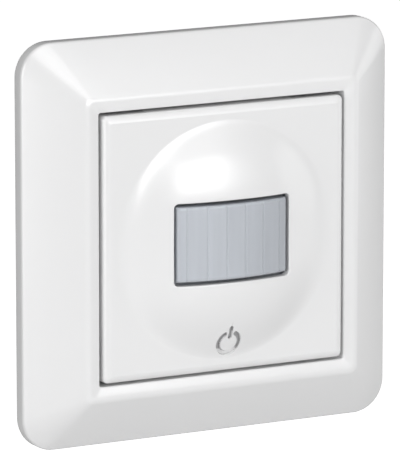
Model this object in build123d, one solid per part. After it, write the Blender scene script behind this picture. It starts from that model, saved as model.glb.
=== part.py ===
from build123d import *
import os
from math import asin, atan2, copysign, cos, pi, sin, sqrt, tan

# Motion sensor light switch for a flush box: surround frame, tilting button cover with a lens window,
# plug-in sensor module, steel mounting ring, and the switching insert that goes into the wall.
# Millimetres. Every piece is drawn as it lies face up on a bench: X to the right, Y up the wall and
# Z out of the wall, with Z = 0 on the wall. on_wall() then stands it up, so that the front faces -Y.

# Centre plate system
plate_side = 55.0
plate_gap = 0.68
fixing_pitch = 60.0
overrun = 1.0
running_fit = 0.05
moving_gap = 0.3
seat_gap = 0.1
small_sides = 12
wire_sides = 4
frame_chords = 8
hidden_chords = 3

# Surround frame
frame_side = 84.0
frame_corner = 7.0
shoulder_height = 2.96
shoulder_round = 1.0
shoulder_chords = 2
bevel_run = 11.06
crest_height = 10.7
crest_corner = 1.6
crest_round = 2.2
crest_chords = 4
land_dip = 0.4
opening_corner = 0.5
frame_wall = 1.8
ledge_thickness = 1.8
screw_room_width = 11.0
screw_room_depth = 3.8

# Mounting ring
ring_side = 71.0
ring_thickness = 1.2
ring_corner_cut = 9.0
ring_window_width = 34.0
ring_window_height = 32.0
ring_window_corner = 2.0
ring_slot_width = 3.8
ring_slot_length = 8.0
ring_bed_gap = 0.4
ring_screw_x = 19.8
ring_screw_y = 13.0
ring_screw_radius = 1.1
ring_screw_head_radius = 2.1
ring_screw_length = 8.0
screw_slot_width = 0.7
screw_slot_depth = 0.5

# Button cover
cover_height = 11.45
cover_wall = 1.8
cover_skirt_wall = 1.5
cover_corner = 0.8
cover_flat_corner = 0.2
cover_edge_run = 1.5
cover_edge_drop = 1.2
cover_edge_chords = 4
cover_skirt_bottom = 5.4
dome_apex = 16.8
dome_rim = 24.8
hollow_sides = 24
hollow_top = 14.4
hollow_top_radius = 9.5
hollow_knee = 12.6
hollow_knee_radius = 17.4
hollow_foot_radius = 23.2
window_width = 26.38
window_height = 17.04
window_corner = 1.0
window_rise = 0.37

# Cover hinge, catches and travel
hinge_y = 21.9
hinge_z = 6.4
hinge_pin_radius = 1.1
ear_radius = 1.5
ear_inner_x = 16.6
ear_thickness = 1.5
lug_thickness = 1.6
catch_x = 12.0
catch_width = 4.0
catch_height = 1.0
catch_reach = 1.0
cover_press_angle = 0.75 * pi / 180

# Lens and its hood
lens_radius = 41.0
lens_height = 16.35
lens_width = 25.1
lens_length = 15.5
lens_facet = 4.23
lens_wall = 0.9
lens_flange_reach = 1.45
lens_flange_thickness = 0.7
hood_wall = 1.1

# Sensor carrier
tray_side = 49.8
tray_wall = 1.2
tray_floor = 1.2
tray_height = 6.8
tray_corner = 1.5
tray_ledge_gap = 0.4
flange_thickness = 1.2
flange_gap = 0.3
hook_x = 16.2
hook_y = 6.0
hook_width = 5.0
hook_thickness = 1.2
hook_barb = 1.1
hook_barb_height = 1.6
cup_height = 2.2

# Sensor board and what it carries
board_side = 46.0
board_thickness = 1.0
board_stand = 1.0
board_corner = 1.0
board_screw_x = 20.5
board_screw_y = 9.5
board_screw_radius = 0.95
board_screw_head_radius = 1.9
board_screw_head_height = 1.2
post_radius = 2.2
detector_radius = 4.15
detector_height = 4.4
detector_flange_radius = 4.6
detector_flange_height = 0.5
detector_leg_radius = 0.25
detector_leg_circle = 2.54
detector_leg_tail = 0.5
filter_width = 4.0
filter_height = 3.0
filter_thickness = 0.5
light_sensor_x = 10.2
light_sensor_radius = 1.5
light_sensor_height = 2.6
light_sensor_steps = 4
status_light_length = 1.6
status_light_width = 0.9
status_light_height = 0.7
chip_side = 7.0
chip_height = 1.2
chip_x = 11.5
chip_y = -15.5
push_switch_y = -19.0
push_switch_side = 6.0
push_switch_height = 3.2
plunger_radius = 1.7
plunger_stand = 0.7
plunger_root = 0.7
trimmer_pitch = 12.0
trimmer_y = 16.8
trimmer_side = 7.0
trimmer_height = 2.6
rotor_radius = 2.4
rotor_stand = 0.7
rotor_root = 1.2
rotor_slot_width = 0.7
rotor_slot_depth = 0.6

# Return springs under the cover
spring_x = 19.0
spring_y = -19.0
spring_radius = 2.3
spring_wire = 0.5
spring_turns = 3
spring_cup_wall = 0.7
spring_peg_radius = 1.6
spring_peg_length = 2.0

# Plug between the module and the insert
plug_y = -12.2
pin_pitch = 2.54
pins_per_row = 5
pin_rows = 2
pin_side = 0.64
pin_tail = 0.5
pin_plunge = 4.4
pin_hole_gap = 0.18
strip_margin = 1.3
socket_margin = 1.6
socket_setback = 0.6

# Insert housing
housing_radius = 27.0
housing_width = 50.0
housing_height = 43.0
housing_depth = 27.0
housing_wall = 1.6
housing_edge_bevel = 0.8
boss_radius = 2.5
boss_foot_radius = 3.4
lid_setback = 3.0
lid_thickness = 1.6
lid_gap = 0.15
power_board_depth = 7.6
power_board_thickness = 1.6
power_board_gap = 0.4

# Parts on the power board
relay_length = 19.0
relay_width = 15.5
relay_height = 15.0
relay_x = -5.5
relay_inset = 10.3
relay_edge_bevel = 0.6
film_capacitor_length = 17.5
film_capacitor_width = 6.0
film_capacitor_height = 12.0
film_capacitor_x = 12.5
film_capacitor_y = 0.5
can_capacitor_radius = 4.0
can_capacitor_height = 12.0
can_capacitor_x = 10.0
can_capacitor_inset = 8.5
can_capacitor_groove = 0.4
varistor_radius = 3.5
varistor_thickness = 3.6
varistor_x = -3.0
varistor_y = -1.5
choke_radius = 4.4
choke_waist = 3.0
choke_height = 8.0
choke_end = 1.2
choke_x = -13.0
choke_y = -1.4
fuse_radius = 2.2
fuse_height = 8.0
fuse_x = 20.5
fuse_y = 6.6

# Terminals, entered from the back
terminal_count = 4
terminal_pitch = 8.0
terminal_height = 11.5
terminal_inset = 8.25
terminal_depth = 11.8
terminal_fit = 0.1
chamber_wall = 1.2
wire_hole_radius = 1.7
wire_hole_length = 6.0
wire_hole_offset = -2.95
pocket_width = 6.2
pocket_height = 9.6
release_offset = 2.75
release_width = 3.2
release_height = 3.2
release_travel = 1.2
release_proud = 0.2
release_reach = 2.6
release_slot_width = 0.8
release_slot_depth = 0.5
contact_thickness = 0.6
contact_width = 5.0
clamp_strip = 0.35
clamp_width = 4.6
clamp_top_share = 0.12
clamp_bend_share = 0.93
clamp_edge_y_share = 0.36
clamp_edge_z_share = 0.66

# Expansion claws above and below the insert
claw_standoff = 5.1
claw_thickness = 1.5
claw_width = 9.6
claw_hinge_depth = 2.6
claw_hub_radius = 1.9
claw_pin_radius = 1.0
claw_length = 23.0
claw_tooth = 1.1
claw_tooth_pitch = 2.4
claw_teeth = 3
claw_ramp_start = 3.4
claw_ramp_run = 6.6
claw_ramp_depth = 3.0
claw_ramp_inner_x = 2.5
claw_lug_thickness = 1.2
claw_lug_radius = 2.4
claw_screw_standoff = 2.15
claw_screw_radius = 1.5
claw_screw_length = 24.0
claw_screw_head_radius = 2.9
claw_screw_head_height = 1.6
claw_screw_hole_gap = 0.3
nut_width = 8.0
nut_height = 3.5
nut_thickness = 3.0
nut_depth = 22.0
nut_bevel = 0.8

# Places that follow from the sizes above
opening_side = plate_side + 2 * plate_gap
ledge_top = ring_thickness + ledge_thickness
tray_top = ring_thickness + tray_height
board_bottom = ring_thickness + tray_floor + board_stand
board_top = board_bottom + board_thickness
cover_inside = cover_height - cover_wall
hood_width = lens_width + 2 * lens_flange_reach
hood_length = lens_length + 2 * lens_flange_reach
power_board_back = -power_board_depth - power_board_thickness
terminal_back = -housing_depth
relay_y = housing_height / 2 - relay_inset
can_capacitor_y = housing_height / 2 - can_capacitor_inset
terminal_y = terminal_inset - housing_height / 2
claw_y = housing_height / 2 + claw_standoff
claw_screw_y = housing_height / 2 + claw_screw_standoff
claw_ramp_low = nut_depth - claw_ramp_start
claw_ramp_high = claw_ramp_low - claw_ramp_run


def on_wall(shape):
    return Rot(90, 0, 0) * shape


def slab(outline, bottom, top):
    return extrude(Pos(0, 0, bottom) * outline, top - bottom)


def square(side, corner):
    return RectangleRounded(side, side, corner)


def both_sides(distance):
    return (-distance, distance)


# Small hidden rounds have few sides: a peg's corners lie on its circle, and a bore's flats on its own
def peg(radius):
    return RegularPolygon(radius, small_sides)


def bore(radius):
    return RegularPolygon(radius, small_sides, major_radius=False)


def flat_face(points):
    return make_face(Polyline(*points, close=True)).face()


# A solid between rings of points, one above the other, closed by its first and its last ring
def block_from_rings(rings, twisted=False):
    faces = [flat_face(rings[0]), flat_face(rings[-1])]
    for low, high in zip(rings, rings[1:]):
        for index in range(len(low)):
            if twisted:
                faces.append(flat_face([low[index - 1], low[index], high[index]]))
                faces.append(flat_face([low[index - 1], high[index], high[index - 1]]))
            else:
                faces.append(flat_face([low[index - 1], low[index], high[index], high[index - 1]]))
    return Solid(Shell(faces))


# A turned piece with flat sides, given by its (radius, height) steps
def small_turned(steps, sides=small_sides):
    turns = [2 * pi * step / sides for step in range(sides)]
    return block_from_rings(
        [[(radius * cos(turn), radius * sin(turn), height) for turn in turns] for radius, height in steps]
    )


# A block with a rounded square at each level, each corner a chain of chords, so that its bands stay flat
def banded_block(levels, chords):
    rings = []
    for half, height, corner in levels:
        ring = []
        for quarter in range(4):
            middle = (quarter + 1 / 2) * pi / 2
            centre_x = copysign(half - corner, cos(middle))
            centre_y = copysign(half - corner, sin(middle))
            for step in range(chords + 1):
                turn = (quarter + step / chords) * pi / 2
                ring.append((centre_x + corner * cos(turn), centre_y + corner * sin(turn), height))
        rings.append(ring)
    return block_from_rings(rings)


def save(name, shape):
    solids = shape.solids()
    whole = solids[0] if len(solids) == 1 else Compound(children=list(solids))
    export_step(whole, "parts/" + name + ".step")


# The surround frame: a steep side wall, a wide bevel, a crest and a land that dips to the opening
def screw_rooms(bottom, top):
    rooms = Part()
    for x in both_sides(fixing_pitch / 2):
        rooms += slab(Pos(x, 0, 0) * Rectangle(screw_room_width, screw_room_width), bottom, top)
    return rooms


def claw_screw_rooms():
    top = ring_thickness + claw_screw_head_height + moving_gap
    rooms = Part()
    for y in both_sides(claw_screw_y):
        rooms += slab(Pos(0, y) * bore(claw_screw_head_radius + moving_gap), 0, top)
    return rooms


# Points of the arc that rounds a corner of the frame's section, from the outside in
def section_arc(start, corner, end, radius, chords):
    path = FilletPolyline(start, corner, end, radius=radius)
    arc = path.edges().filter_by(GeomType.CIRCLE)[0]
    points = [arc @ (step / chords) for step in range(chords + 1)]
    return sorted([(point.X, point.Y) for point in points], reverse=True)


def frame_corner_at(half):
    crest_half = frame_side / 2 - bevel_run
    if half > crest_half:
        return crest_corner + (frame_corner - crest_corner) * (half - crest_half) / bevel_run
    land = crest_half - opening_side / 2
    return opening_corner + (crest_corner - opening_corner) * (half - opening_side / 2) / land


# The crest's corner stands higher than its rounded top by what the rounding takes off
def frame_levels(bevel):
    half = frame_side / 2
    land_slope = atan2(land_dip, half - bevel_run - opening_side / 2)
    taken_off = crest_round * (cos((bevel - land_slope) / 2) / cos((bevel + land_slope) / 2) - 1)
    foot = (half, 0)
    shoulder = (half, shoulder_height)
    crest = (half - bevel_run, crest_height + taken_off)
    bevel_middle = (half - bevel_run / 2, (shoulder_height + crest_height + taken_off) / 2)
    lip = (opening_side / 2, crest_height - land_dip)
    section = [foot]
    section += section_arc(foot, shoulder, bevel_middle, shoulder_round, shoulder_chords)
    section += section_arc(bevel_middle, crest, lip, crest_round, crest_chords)
    section.append(lip)
    return [(place, height, frame_corner_at(place)) for place, height in section]


def surround_frame():
    bevel = atan2(crest_height - shoulder_height, bevel_run)
    drop = frame_wall / cos(bevel)
    hollow_half = frame_side / 2 - frame_wall
    hollow_corner = frame_corner - frame_wall
    hollow_shoulder = shoulder_height + frame_wall * tan(bevel) - drop
    ceiling = crest_height - land_dip - frame_wall
    ceiling_half = frame_side / 2 - (ceiling - shoulder_height + drop) / tan(bevel)
    outer = banded_block(frame_levels(bevel), frame_chords)
    hollow_levels = [
        (hollow_half, -overrun, hollow_corner),
        (hollow_half, hollow_shoulder, hollow_corner),
        (ceiling_half, ceiling, crest_corner),
    ]
    hollow = banded_block(hollow_levels, hidden_chords)
    opening_half = opening_side / 2
    opening_ends = (-overrun, crest_height + overrun)
    opening_levels = [(opening_half, height, opening_corner) for height in opening_ends]
    inner_wall = slab(square(opening_side + 2 * frame_wall, crest_corner), -2 * overrun, ceiling + overrun)
    opening = banded_block(opening_levels, frame_chords)
    ledge_outline = square(opening_side + frame_wall, opening_corner)
    ledge_outline -= square(tray_side + 2 * tray_ledge_gap, tray_corner)
    ledge = slab(ledge_outline, ring_thickness, ledge_top)
    ring_bed = slab(square(ring_side + 2 * ring_bed_gap, crest_corner), -overrun, ring_thickness)
    rooms = screw_rooms(-overrun, ring_thickness + screw_room_depth)
    return outer - (hollow - inner_wall) - opening + ledge - ring_bed - rooms - claw_screw_rooms()


# The mounting ring: a flat steel plate on the wall, with slots for the box screws and lugs for the claws
def claw_lugs():
    lugs = Part()
    lug_x = claw_width / 2 + seat_gap + claw_lug_thickness / 2
    for side in (-1, 1):
        for x in both_sides(lug_x):
            y = side * claw_y
            outline = Pos(-y, -claw_hinge_depth) * peg(claw_lug_radius)
            outline += Pos(-y, -claw_hinge_depth / 2) * Rectangle(2 * claw_lug_radius, claw_hinge_depth)
            outline -= Pos(-y, -claw_hinge_depth) * bore(claw_pin_radius + running_fit)
            lug = extrude(outline, claw_lug_thickness / 2, both=True)
            lugs += Pos(x, 0, 0) * Rot(0, 0, -90) * Rot(90, 0, 0) * lug
    return lugs


def mounting_ring():
    outline = chamfer(Rectangle(ring_side, ring_side).vertices(), ring_corner_cut)
    outline -= RectangleRounded(ring_window_width, ring_window_height, ring_window_corner)
    for x in both_sides(fixing_pitch / 2):
        outline -= Pos(x, 0) * SlotOverall(ring_slot_length, ring_slot_width)
    for y in both_sides(claw_screw_y):
        outline -= Pos(0, y) * bore(claw_screw_radius + claw_screw_hole_gap)
    ring = slab(outline, 0, ring_thickness)
    hole_swell = 1 / cos(pi / small_sides)
    shank_radius = (ring_screw_radius + running_fit) * hole_swell
    head_radius = (ring_screw_head_radius + running_fit) * hole_swell
    for x in both_sides(ring_screw_x):
        for y in both_sides(ring_screw_y):
            ring -= Pos(x, y, 0) * countersunk(shank_radius, head_radius, -overrun)
    return ring + claw_lugs()


# A countersunk screw whose head lies flush with the ring, or the hole for it
def countersunk(shank_radius, head_radius, bottom):
    cone_start = ring_thickness - (ring_screw_head_radius - ring_screw_radius)
    return small_turned(
        [
            (shank_radius, bottom),
            (shank_radius, cone_start),
            (head_radius, ring_thickness),
        ]
    )


def ring_screws():
    slot_outline = Rectangle(2 * ring_screw_head_radius + overrun, screw_slot_width)
    slot = slab(slot_outline, ring_thickness - screw_slot_depth, ring_thickness + overrun)
    bottom = ring_thickness - ring_screw_length
    screw = countersunk(ring_screw_radius, ring_screw_head_radius, bottom) - slot
    places = [Pos(x, y, 0) for x in both_sides(ring_screw_x) for y in both_sides(ring_screw_y)]
    return Compound(children=[place * screw for place in places])


# The button cover: a square shell with a shallow dome that meets the flat in a circle, and a window in it
def dome_solid():
    rise = dome_apex - cover_height
    radius = (dome_rim**2 + rise**2) / (2 * rise)
    half_turn = asin(dome_rim / radius) / 2
    middle = (radius * sin(half_turn), dome_apex - radius * (1 - cos(half_turn)))
    outline = ThreePointArc((0, dome_apex), middle, (dome_rim, cover_height))
    outline += Polyline((dome_rim, cover_height), (dome_rim, cover_inside), (0, cover_inside), (0, dome_apex))
    return revolve(Plane.XZ * make_face(outline), Axis.Z)


def dome_hollow():
    steps = [
        (hollow_foot_radius, cover_inside - overrun),
        (hollow_foot_radius, cover_inside),
        (hollow_knee_radius, hollow_knee),
        (hollow_top_radius, hollow_top),
    ]
    return small_turned(steps, hollow_sides)


def hinge_disc(outline, start_x, end_x):
    return Pos(start_x, hinge_y, hinge_z) * Rot(0, 90, 0) * extrude(outline, end_x - start_x)


def cover_ears():
    ears = Part()
    for side in (-1, 1):
        inner, outer = sorted((side * ear_inner_x, side * (ear_inner_x + ear_thickness)))
        ear = hinge_disc(peg(ear_radius), inner, outer)
        web = Rectangle(outer - inner, 2 * ear_radius)
        ear += slab(Pos((inner + outer) / 2, hinge_y) * web, hinge_z, cover_inside + seat_gap)
        pin_end = side * (ear_inner_x + ear_thickness + moving_gap + lug_thickness - seat_gap)
        inner, outer = sorted((side * (ear_inner_x + ear_thickness - seat_gap), pin_end))
        ears += ear + hinge_disc(peg(hinge_pin_radius), inner, outer)
    return ears


def push_post():
    bottom = board_top + push_switch_height + plunger_stand + moving_gap
    outline = Rectangle(2 * plunger_radius, 2 * plunger_radius)
    ceiling = hollow_knee + 2 * seat_gap
    return slab(Pos(0, push_switch_y) * outline, bottom, ceiling)


def cover_catches():
    catches = Part()
    skirt_inside = plate_side / 2 - cover_skirt_wall
    top = ledge_top + flange_thickness + catch_window_height() - moving_gap
    for x in both_sides(catch_x):
        reach = skirt_inside - tray_side / 2 + catch_reach
        y = -skirt_inside + reach / 2
        nub = Rectangle(catch_width, reach + seat_gap)
        catches += slab(Pos(x, y - seat_gap / 2) * nub, top - catch_height, top)
    return catches


def spring_pegs():
    pegs = Part()
    for x in both_sides(spring_x):
        place = Pos(x, spring_y)
        tip = cover_inside - spring_peg_length
        pegs += slab(place * peg(spring_peg_radius), tip, cover_inside + seat_gap)
    return pegs


# The plate's edge is rounded deeper than wide, so each chord's end lies on a quarter of an ellipse
def cover_levels():
    levels = [(plate_side / 2, cover_skirt_bottom, cover_corner)]
    for step in range(cover_edge_chords + 1):
        turn = pi / 2 * step / cover_edge_chords
        inward = 1 - cos(turn)
        half = plate_side / 2 - cover_edge_run * inward
        height = cover_height - cover_edge_drop * (1 - sin(turn))
        levels.append((half, height, cover_corner + (cover_flat_corner - cover_corner) * inward))
    return levels


def button_cover():
    shell = banded_block(cover_levels(), hidden_chords)
    inside_side = plate_side - 2 * cover_skirt_wall
    shell -= slab(square(inside_side, cover_corner), cover_skirt_bottom - overrun, cover_inside)
    cover = shell + dome_solid() - dome_hollow()
    cover += push_post() + spring_pegs() + cover_catches() + cover_ears()
    window = RectangleRounded(window_width, window_height, window_corner)
    return cover - slab(Pos(0, window_rise) * window, cover_inside - overrun, dome_apex + overrun)


# The lens: flat upright facets round a vertical line, with a skirt and a flange behind the cover
def lens_surface(x):
    return lens_height - lens_radius + sqrt(lens_radius**2 - x**2)


def lens_block(width, length, bottom, drop):
    steps = int(width / lens_facet / 2 + 1 / 2)
    folds = [lens_facet * (step - 1 / 2) for step in range(1, steps + 1)]
    right = [x for x in folds if x < width / 2] + [width / 2]
    across = [-x for x in reversed(right)] + right
    front = [(x, lens_surface(x) - drop) for x in across]
    outline = Polyline((-width / 2, bottom), *front, (width / 2, bottom), close=True)
    block = extrude(Plane.XZ * make_face(outline), length / 2, both=True)
    return Pos(0, window_rise, 0) * block


def fresnel_lens():
    bottom = hood_top()
    lens = lens_block(lens_width, lens_length, bottom, 0)
    flange = RectangleRounded(hood_width, hood_length, window_corner)
    lens += slab(Pos(0, window_rise) * flange, bottom, bottom + lens_flange_thickness)
    inner_width = lens_width - 2 * lens_wall
    inner_length = lens_length - 2 * lens_wall
    return lens - lens_block(inner_width, inner_length, bottom - overrun, lens_wall)


def hood_top():
    side_height = lens_surface(lens_width / 2)
    return (board_top + side_height + lens_flange_thickness) / 2 + lens_flange_thickness


def lens_hood():
    outline = Rectangle(hood_width, hood_length)
    outline -= Rectangle(hood_width - 2 * hood_wall, hood_length - 2 * hood_wall)
    return slab(Pos(0, window_rise) * outline, board_top, hood_top())


# The sensor carrier: a tray on the ring, with a flange that clamps the frame's ledge
def catch_window_height():
    return catch_height + 2 * moving_gap + (hinge_y + tray_side / 2) * cover_press_angle


def spring_cups():
    cups = Part()
    floor = ring_thickness + tray_floor
    inside = spring_radius + spring_wire / 2 + moving_gap
    outline = peg(inside + spring_cup_wall) - bore(inside)
    for x in both_sides(spring_x):
        cups += slab(Pos(x, spring_y) * outline, floor, floor + cup_height)
    return cups


def carrier_lugs():
    lugs = Part()
    lug_front = hinge_z + ear_radius
    lug_depth = tray_side / 2 - tray_wall - hinge_y + ear_radius + tray_wall / 2
    for side in (-1, 1):
        start = ear_inner_x + ear_thickness + moving_gap
        inner, outer = sorted((side * start, side * (start + lug_thickness)))
        y = hinge_y - ear_radius + lug_depth / 2
        outline = Pos((inner + outer) / 2, y) * Rectangle(outer - inner, lug_depth)
        lug = slab(outline, ring_thickness, lug_front)
        lugs += lug - hinge_disc(bore(hinge_pin_radius + running_fit), inner - overrun, outer + overrun)
    return lugs


def board_posts():
    posts = Part()
    for x in both_sides(board_screw_x):
        for y in both_sides(board_screw_y):
            outline = peg(post_radius) - bore(board_screw_radius + running_fit)
            posts += slab(Pos(x, y) * outline, ring_thickness, board_bottom)
    return posts


def carrier_hooks():
    hooks = Part()
    for side in (-1, 1):
        for y in both_sides(hook_y):
            stem = Pos(side * hook_x, y) * Rectangle(hook_thickness, hook_width)
            bottom = -hook_barb_height - seat_gap
            hook = slab(stem, bottom, ring_thickness + tray_floor)
            barb_x = side * (hook_x + hook_thickness / 2 + hook_barb / 2)
            barb = Pos(barb_x, y) * Rectangle(hook_barb, hook_width)
            hooks += hook + slab(barb, bottom, -seat_gap)
    return hooks


def sensor_carrier():
    floor = ring_thickness + tray_floor
    tray = slab(square(tray_side, tray_corner), ring_thickness, tray_top)
    tray -= slab(square(tray_side - 2 * tray_wall, tray_corner), floor, tray_top + overrun)
    flange_outline = square(opening_side - 2 * flange_gap, opening_corner)
    flange_outline -= square(tray_side - tray_wall, tray_corner)
    flange = slab(flange_outline, ledge_top, ledge_top + flange_thickness)
    rooms = screw_rooms(0, ring_thickness + screw_room_depth)
    flange -= rooms - slab(square(tray_side, tray_corner), 0, tray_top)
    carrier = tray + flange + spring_cups() + carrier_lugs() + board_posts() + carrier_hooks()
    window_bottom = ledge_top + flange_thickness
    for x in both_sides(catch_x):
        window = Pos(x, -tray_side / 2) * Rectangle(catch_width + 2 * moving_gap, 3 * tray_wall)
        carrier -= slab(window, window_bottom, window_bottom + catch_window_height())
    for x in both_sides(board_screw_x):
        for y in both_sides(board_screw_y):
            pilot = Pos(x, y) * bore(board_screw_radius + running_fit)
            carrier -= slab(pilot, ring_thickness + tray_floor / 2, board_bottom + overrun)
    strip = Rectangle(strip_length() + 2 * seat_gap, strip_width() + 2 * seat_gap)
    return carrier - slab(Pos(0, plug_y) * strip, 0, floor + overrun) - claw_screw_rooms()


# The sensor board and the parts soldered to it
def sensor_board():
    outline = square(board_side, board_corner)
    notch_x = ear_inner_x - moving_gap
    notch = Rectangle(board_side, board_side)
    cup = spring_radius + spring_wire / 2 + 2 * moving_gap + spring_cup_wall
    for side in (-1, 1):
        x = side * (notch_x + board_side / 2)
        y = hinge_y - ear_radius - moving_gap + board_side / 2
        outline -= Pos(x, y) * notch
        outline -= Pos(side * spring_x, spring_y) * bore(cup)
        for y in both_sides(board_screw_y):
            outline -= Pos(side * board_screw_x, y) * bore(board_screw_radius + running_fit)
    outline -= plug_grid(Rectangle(2 * pin_side, 2 * pin_side))
    outline -= detector_legs(2 * detector_leg_radius)
    return slab(outline, board_bottom, board_top)


def board_screws():
    top = board_top + board_screw_head_height
    edge = board_screw_head_height / 3
    screw = small_turned(
        [
            (board_screw_radius, ring_thickness + tray_floor),
            (board_screw_radius, board_top),
            (board_screw_head_radius, board_top),
            (board_screw_head_radius, top - edge),
            (board_screw_head_radius - edge, top),
        ]
    )
    slot = Rectangle(2 * board_screw_head_radius + overrun, screw_slot_width)
    screw -= slab(slot, top - screw_slot_depth, top + overrun)
    places = [Pos(x, y, 0) for x in both_sides(board_screw_x) for y in both_sides(board_screw_y)]
    return Compound(children=[place * screw for place in places])


def detector_legs(radius):
    legs = Sketch()
    for turn in (0, 90, 180):
        legs += Rot(0, 0, turn - 45) * Pos(detector_leg_circle, 0) * RegularPolygon(radius, wire_sides)
    return Pos(0, window_rise) * legs


def pir_detector():
    top = board_top + detector_height
    edge = detector_flange_height / 2
    can = small_turned(
        [
            (detector_flange_radius, board_top),
            (detector_flange_radius, board_top + detector_flange_height),
            (detector_radius, board_top + detector_flange_height),
            (detector_radius, top - edge),
            (detector_radius - edge, top),
        ]
    )
    window = Rectangle(filter_width + 2 * running_fit, filter_height + 2 * running_fit)
    can -= slab(window, top - filter_thickness, top + overrun)
    legs = slab(detector_legs(detector_leg_radius), board_bottom - detector_leg_tail, board_top)
    return Pos(0, window_rise, 0) * can + legs


def pir_filter():
    top = board_top + detector_height
    return Pos(0, window_rise, 0) * slab(Rectangle(filter_width, filter_height), top - filter_thickness, top)


def light_sensor():
    rim_top = board_top + light_sensor_height / 4
    dome_start = board_top + light_sensor_height - light_sensor_radius
    steps = [
        (light_sensor_radius + seat_gap, board_top),
        (light_sensor_radius + seat_gap, rim_top),
        (light_sensor_radius, rim_top),
    ]
    for step in range(light_sensor_steps):
        turn = pi / 2 * step / light_sensor_steps
        steps.append((light_sensor_radius * cos(turn), dome_start + light_sensor_radius * sin(turn)))
    return Pos(light_sensor_x, window_rise, 0) * small_turned(steps)


def status_light():
    outline = Rectangle(status_light_width, status_light_length)
    body = slab(outline, board_top, board_top + status_light_height)
    body = chamfer(body.edges().group_by(Axis.Z)[-1], status_light_height / 4)
    return Pos(-light_sensor_x, window_rise, 0) * body


def control_chip():
    body = slab(Rectangle(chip_side, chip_side), board_top, board_top + chip_height)
    body = chamfer(body.edges().group_by(Axis.Z)[-1], chip_height / 4)
    dimple = Pos(-chip_side / 3, chip_side / 3) * peg(chip_height / 3)
    body -= slab(dimple, board_top + chip_height * 4 / 5, board_top + chip_height + overrun)
    return Pos(chip_x, chip_y, 0) * body


# The push switch: a square body with a round plunger that the cover presses
def push_travel():
    return (hinge_y - push_switch_y) * cover_press_angle


def push_switch():
    top = board_top + push_switch_height
    body = slab(Rectangle(push_switch_side, push_switch_side), board_top, top)
    well_floor = top - plunger_root - push_travel() - seat_gap
    body -= slab(bore(plunger_radius + running_fit), well_floor, top + overrun)
    return Pos(0, push_switch_y, 0) * body


def push_plunger():
    bottom = board_top + push_switch_height - plunger_root
    top = board_top + push_switch_height + plunger_stand
    edge = plunger_stand / 3
    steps = [(plunger_radius, bottom), (plunger_radius, top - edge), (plunger_radius - edge, top)]
    return Pos(0, push_switch_y, 0) * small_turned(steps)


# The trimmers for time, light level and range, in a row above the hood
def trimmer_bodies():
    bodies = []
    top = board_top + trimmer_height
    for step in (-1, 0, 1):
        body = slab(Rectangle(trimmer_side, trimmer_side), board_top, top)
        body -= slab(bore(rotor_radius + running_fit), top - rotor_root - seat_gap, top + overrun)
        bodies.append(Pos(step * trimmer_pitch, trimmer_y, 0) * body)
    return Compound(children=bodies)


def trimmer_rotor(step):
    top = board_top + trimmer_height + rotor_stand
    bottom = board_top + trimmer_height - rotor_root
    edge = rotor_stand / 3
    body = small_turned([(rotor_radius, bottom), (rotor_radius, top - edge), (rotor_radius - edge, top)])
    arrow = Rectangle(rotor_slot_width, rotor_radius * 3 / 2)
    arrow += Pos(0, rotor_radius / 3) * Triangle(
        a=rotor_radius, B=60, C=60, align=(Align.CENTER, Align.CENTER), rotation=0
    )
    body -= slab(arrow, top - rotor_slot_depth, top + overrun)
    return Pos(step * trimmer_pitch, trimmer_y, 0) * body


# A compression spring between its cup in the carrier and the cover. Its wire is a square on edge, carried
# up a helix in short steps, and each side of a step is halved into two triangles, because it is twisted.
def return_springs():
    bottom = ring_thickness + tray_floor + seat_gap
    height = cover_inside - seat_gap - bottom - spring_wire
    steps = spring_turns * small_sides
    rings = []
    for step in range(steps + 1):
        turn = 2 * pi * step / small_sides
        ring = []
        for side in range(wire_sides):
            around = 2 * pi * side / wire_sides
            radius = spring_radius + spring_wire / 2 * cos(around)
            rise = height * step / steps + spring_wire / 2 * sin(around)
            ring.append((radius * cos(turn), radius * sin(turn), rise))
        rings.append(ring)
    coil = block_from_rings(rings, twisted=True)
    print("return spring least gap between turns", round(height / spring_turns - spring_wire, 3))
    places = [Pos(x, spring_y, bottom + spring_wire / 2) for x in both_sides(spring_x)]
    return Compound(children=[place * coil for place in places])


# The plug: pins through the sensor board and the ring into a socket on the power board
def strip_length():
    return pin_pitch * (pins_per_row - 1) + 2 * strip_margin


def strip_width():
    return pin_pitch * (pin_rows - 1) + 2 * strip_margin


def plug_pins():
    pins = []
    pin = slab(Rectangle(pin_side, pin_side), -pin_plunge, board_top + pin_tail)
    for place in GridLocations(pin_pitch, pin_pitch, pins_per_row, pin_rows):
        pins.append(Pos(0, plug_y, 0) * place * pin)
    return Compound(children=pins)


def pin_strip():
    outline = Pos(0, plug_y) * Rectangle(strip_length(), strip_width())
    outline -= plug_grid(Rectangle(pin_side + running_fit, pin_side + running_fit))
    return slab(outline, ring_thickness, board_bottom)


def socket_outline(grow):
    width = strip_length() + socket_margin + 2 * grow
    length = strip_width() + socket_margin + 2 * grow
    return Pos(0, plug_y) * Rectangle(width, length)


def plug_socket():
    body = slab(socket_outline(0), -power_board_depth, -socket_setback)
    body = chamfer(body.edges().group_by(Axis.Z)[-1], socket_margin / 4)
    hole = Rectangle(pin_side + 2 * pin_hole_gap, pin_side + 2 * pin_hole_gap)
    return body - slab(plug_grid(hole), -pin_plunge - socket_setback, 0)


# The insert housing: a round-cornered pot behind the ring, with a terminal chamber in its back
def housing_outline(inset):
    outline = Circle(housing_radius - inset)
    return outline & Rectangle(housing_width - 2 * inset, housing_height - 2 * inset)


def plug_grid(hole):
    return Pos(0, plug_y) * (Sketch() + GridLocations(pin_pitch, pin_pitch, pins_per_row, pin_rows) * hole)


def boss_places():
    return [Pos(x, y) for x in both_sides(ring_screw_x) for y in both_sides(ring_screw_y)]


def chamber_outline(grow):
    width = terminal_pitch * terminal_count + 2 * grow
    return Pos(0, terminal_y) * Rectangle(width, terminal_height + 2 * grow)


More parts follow.
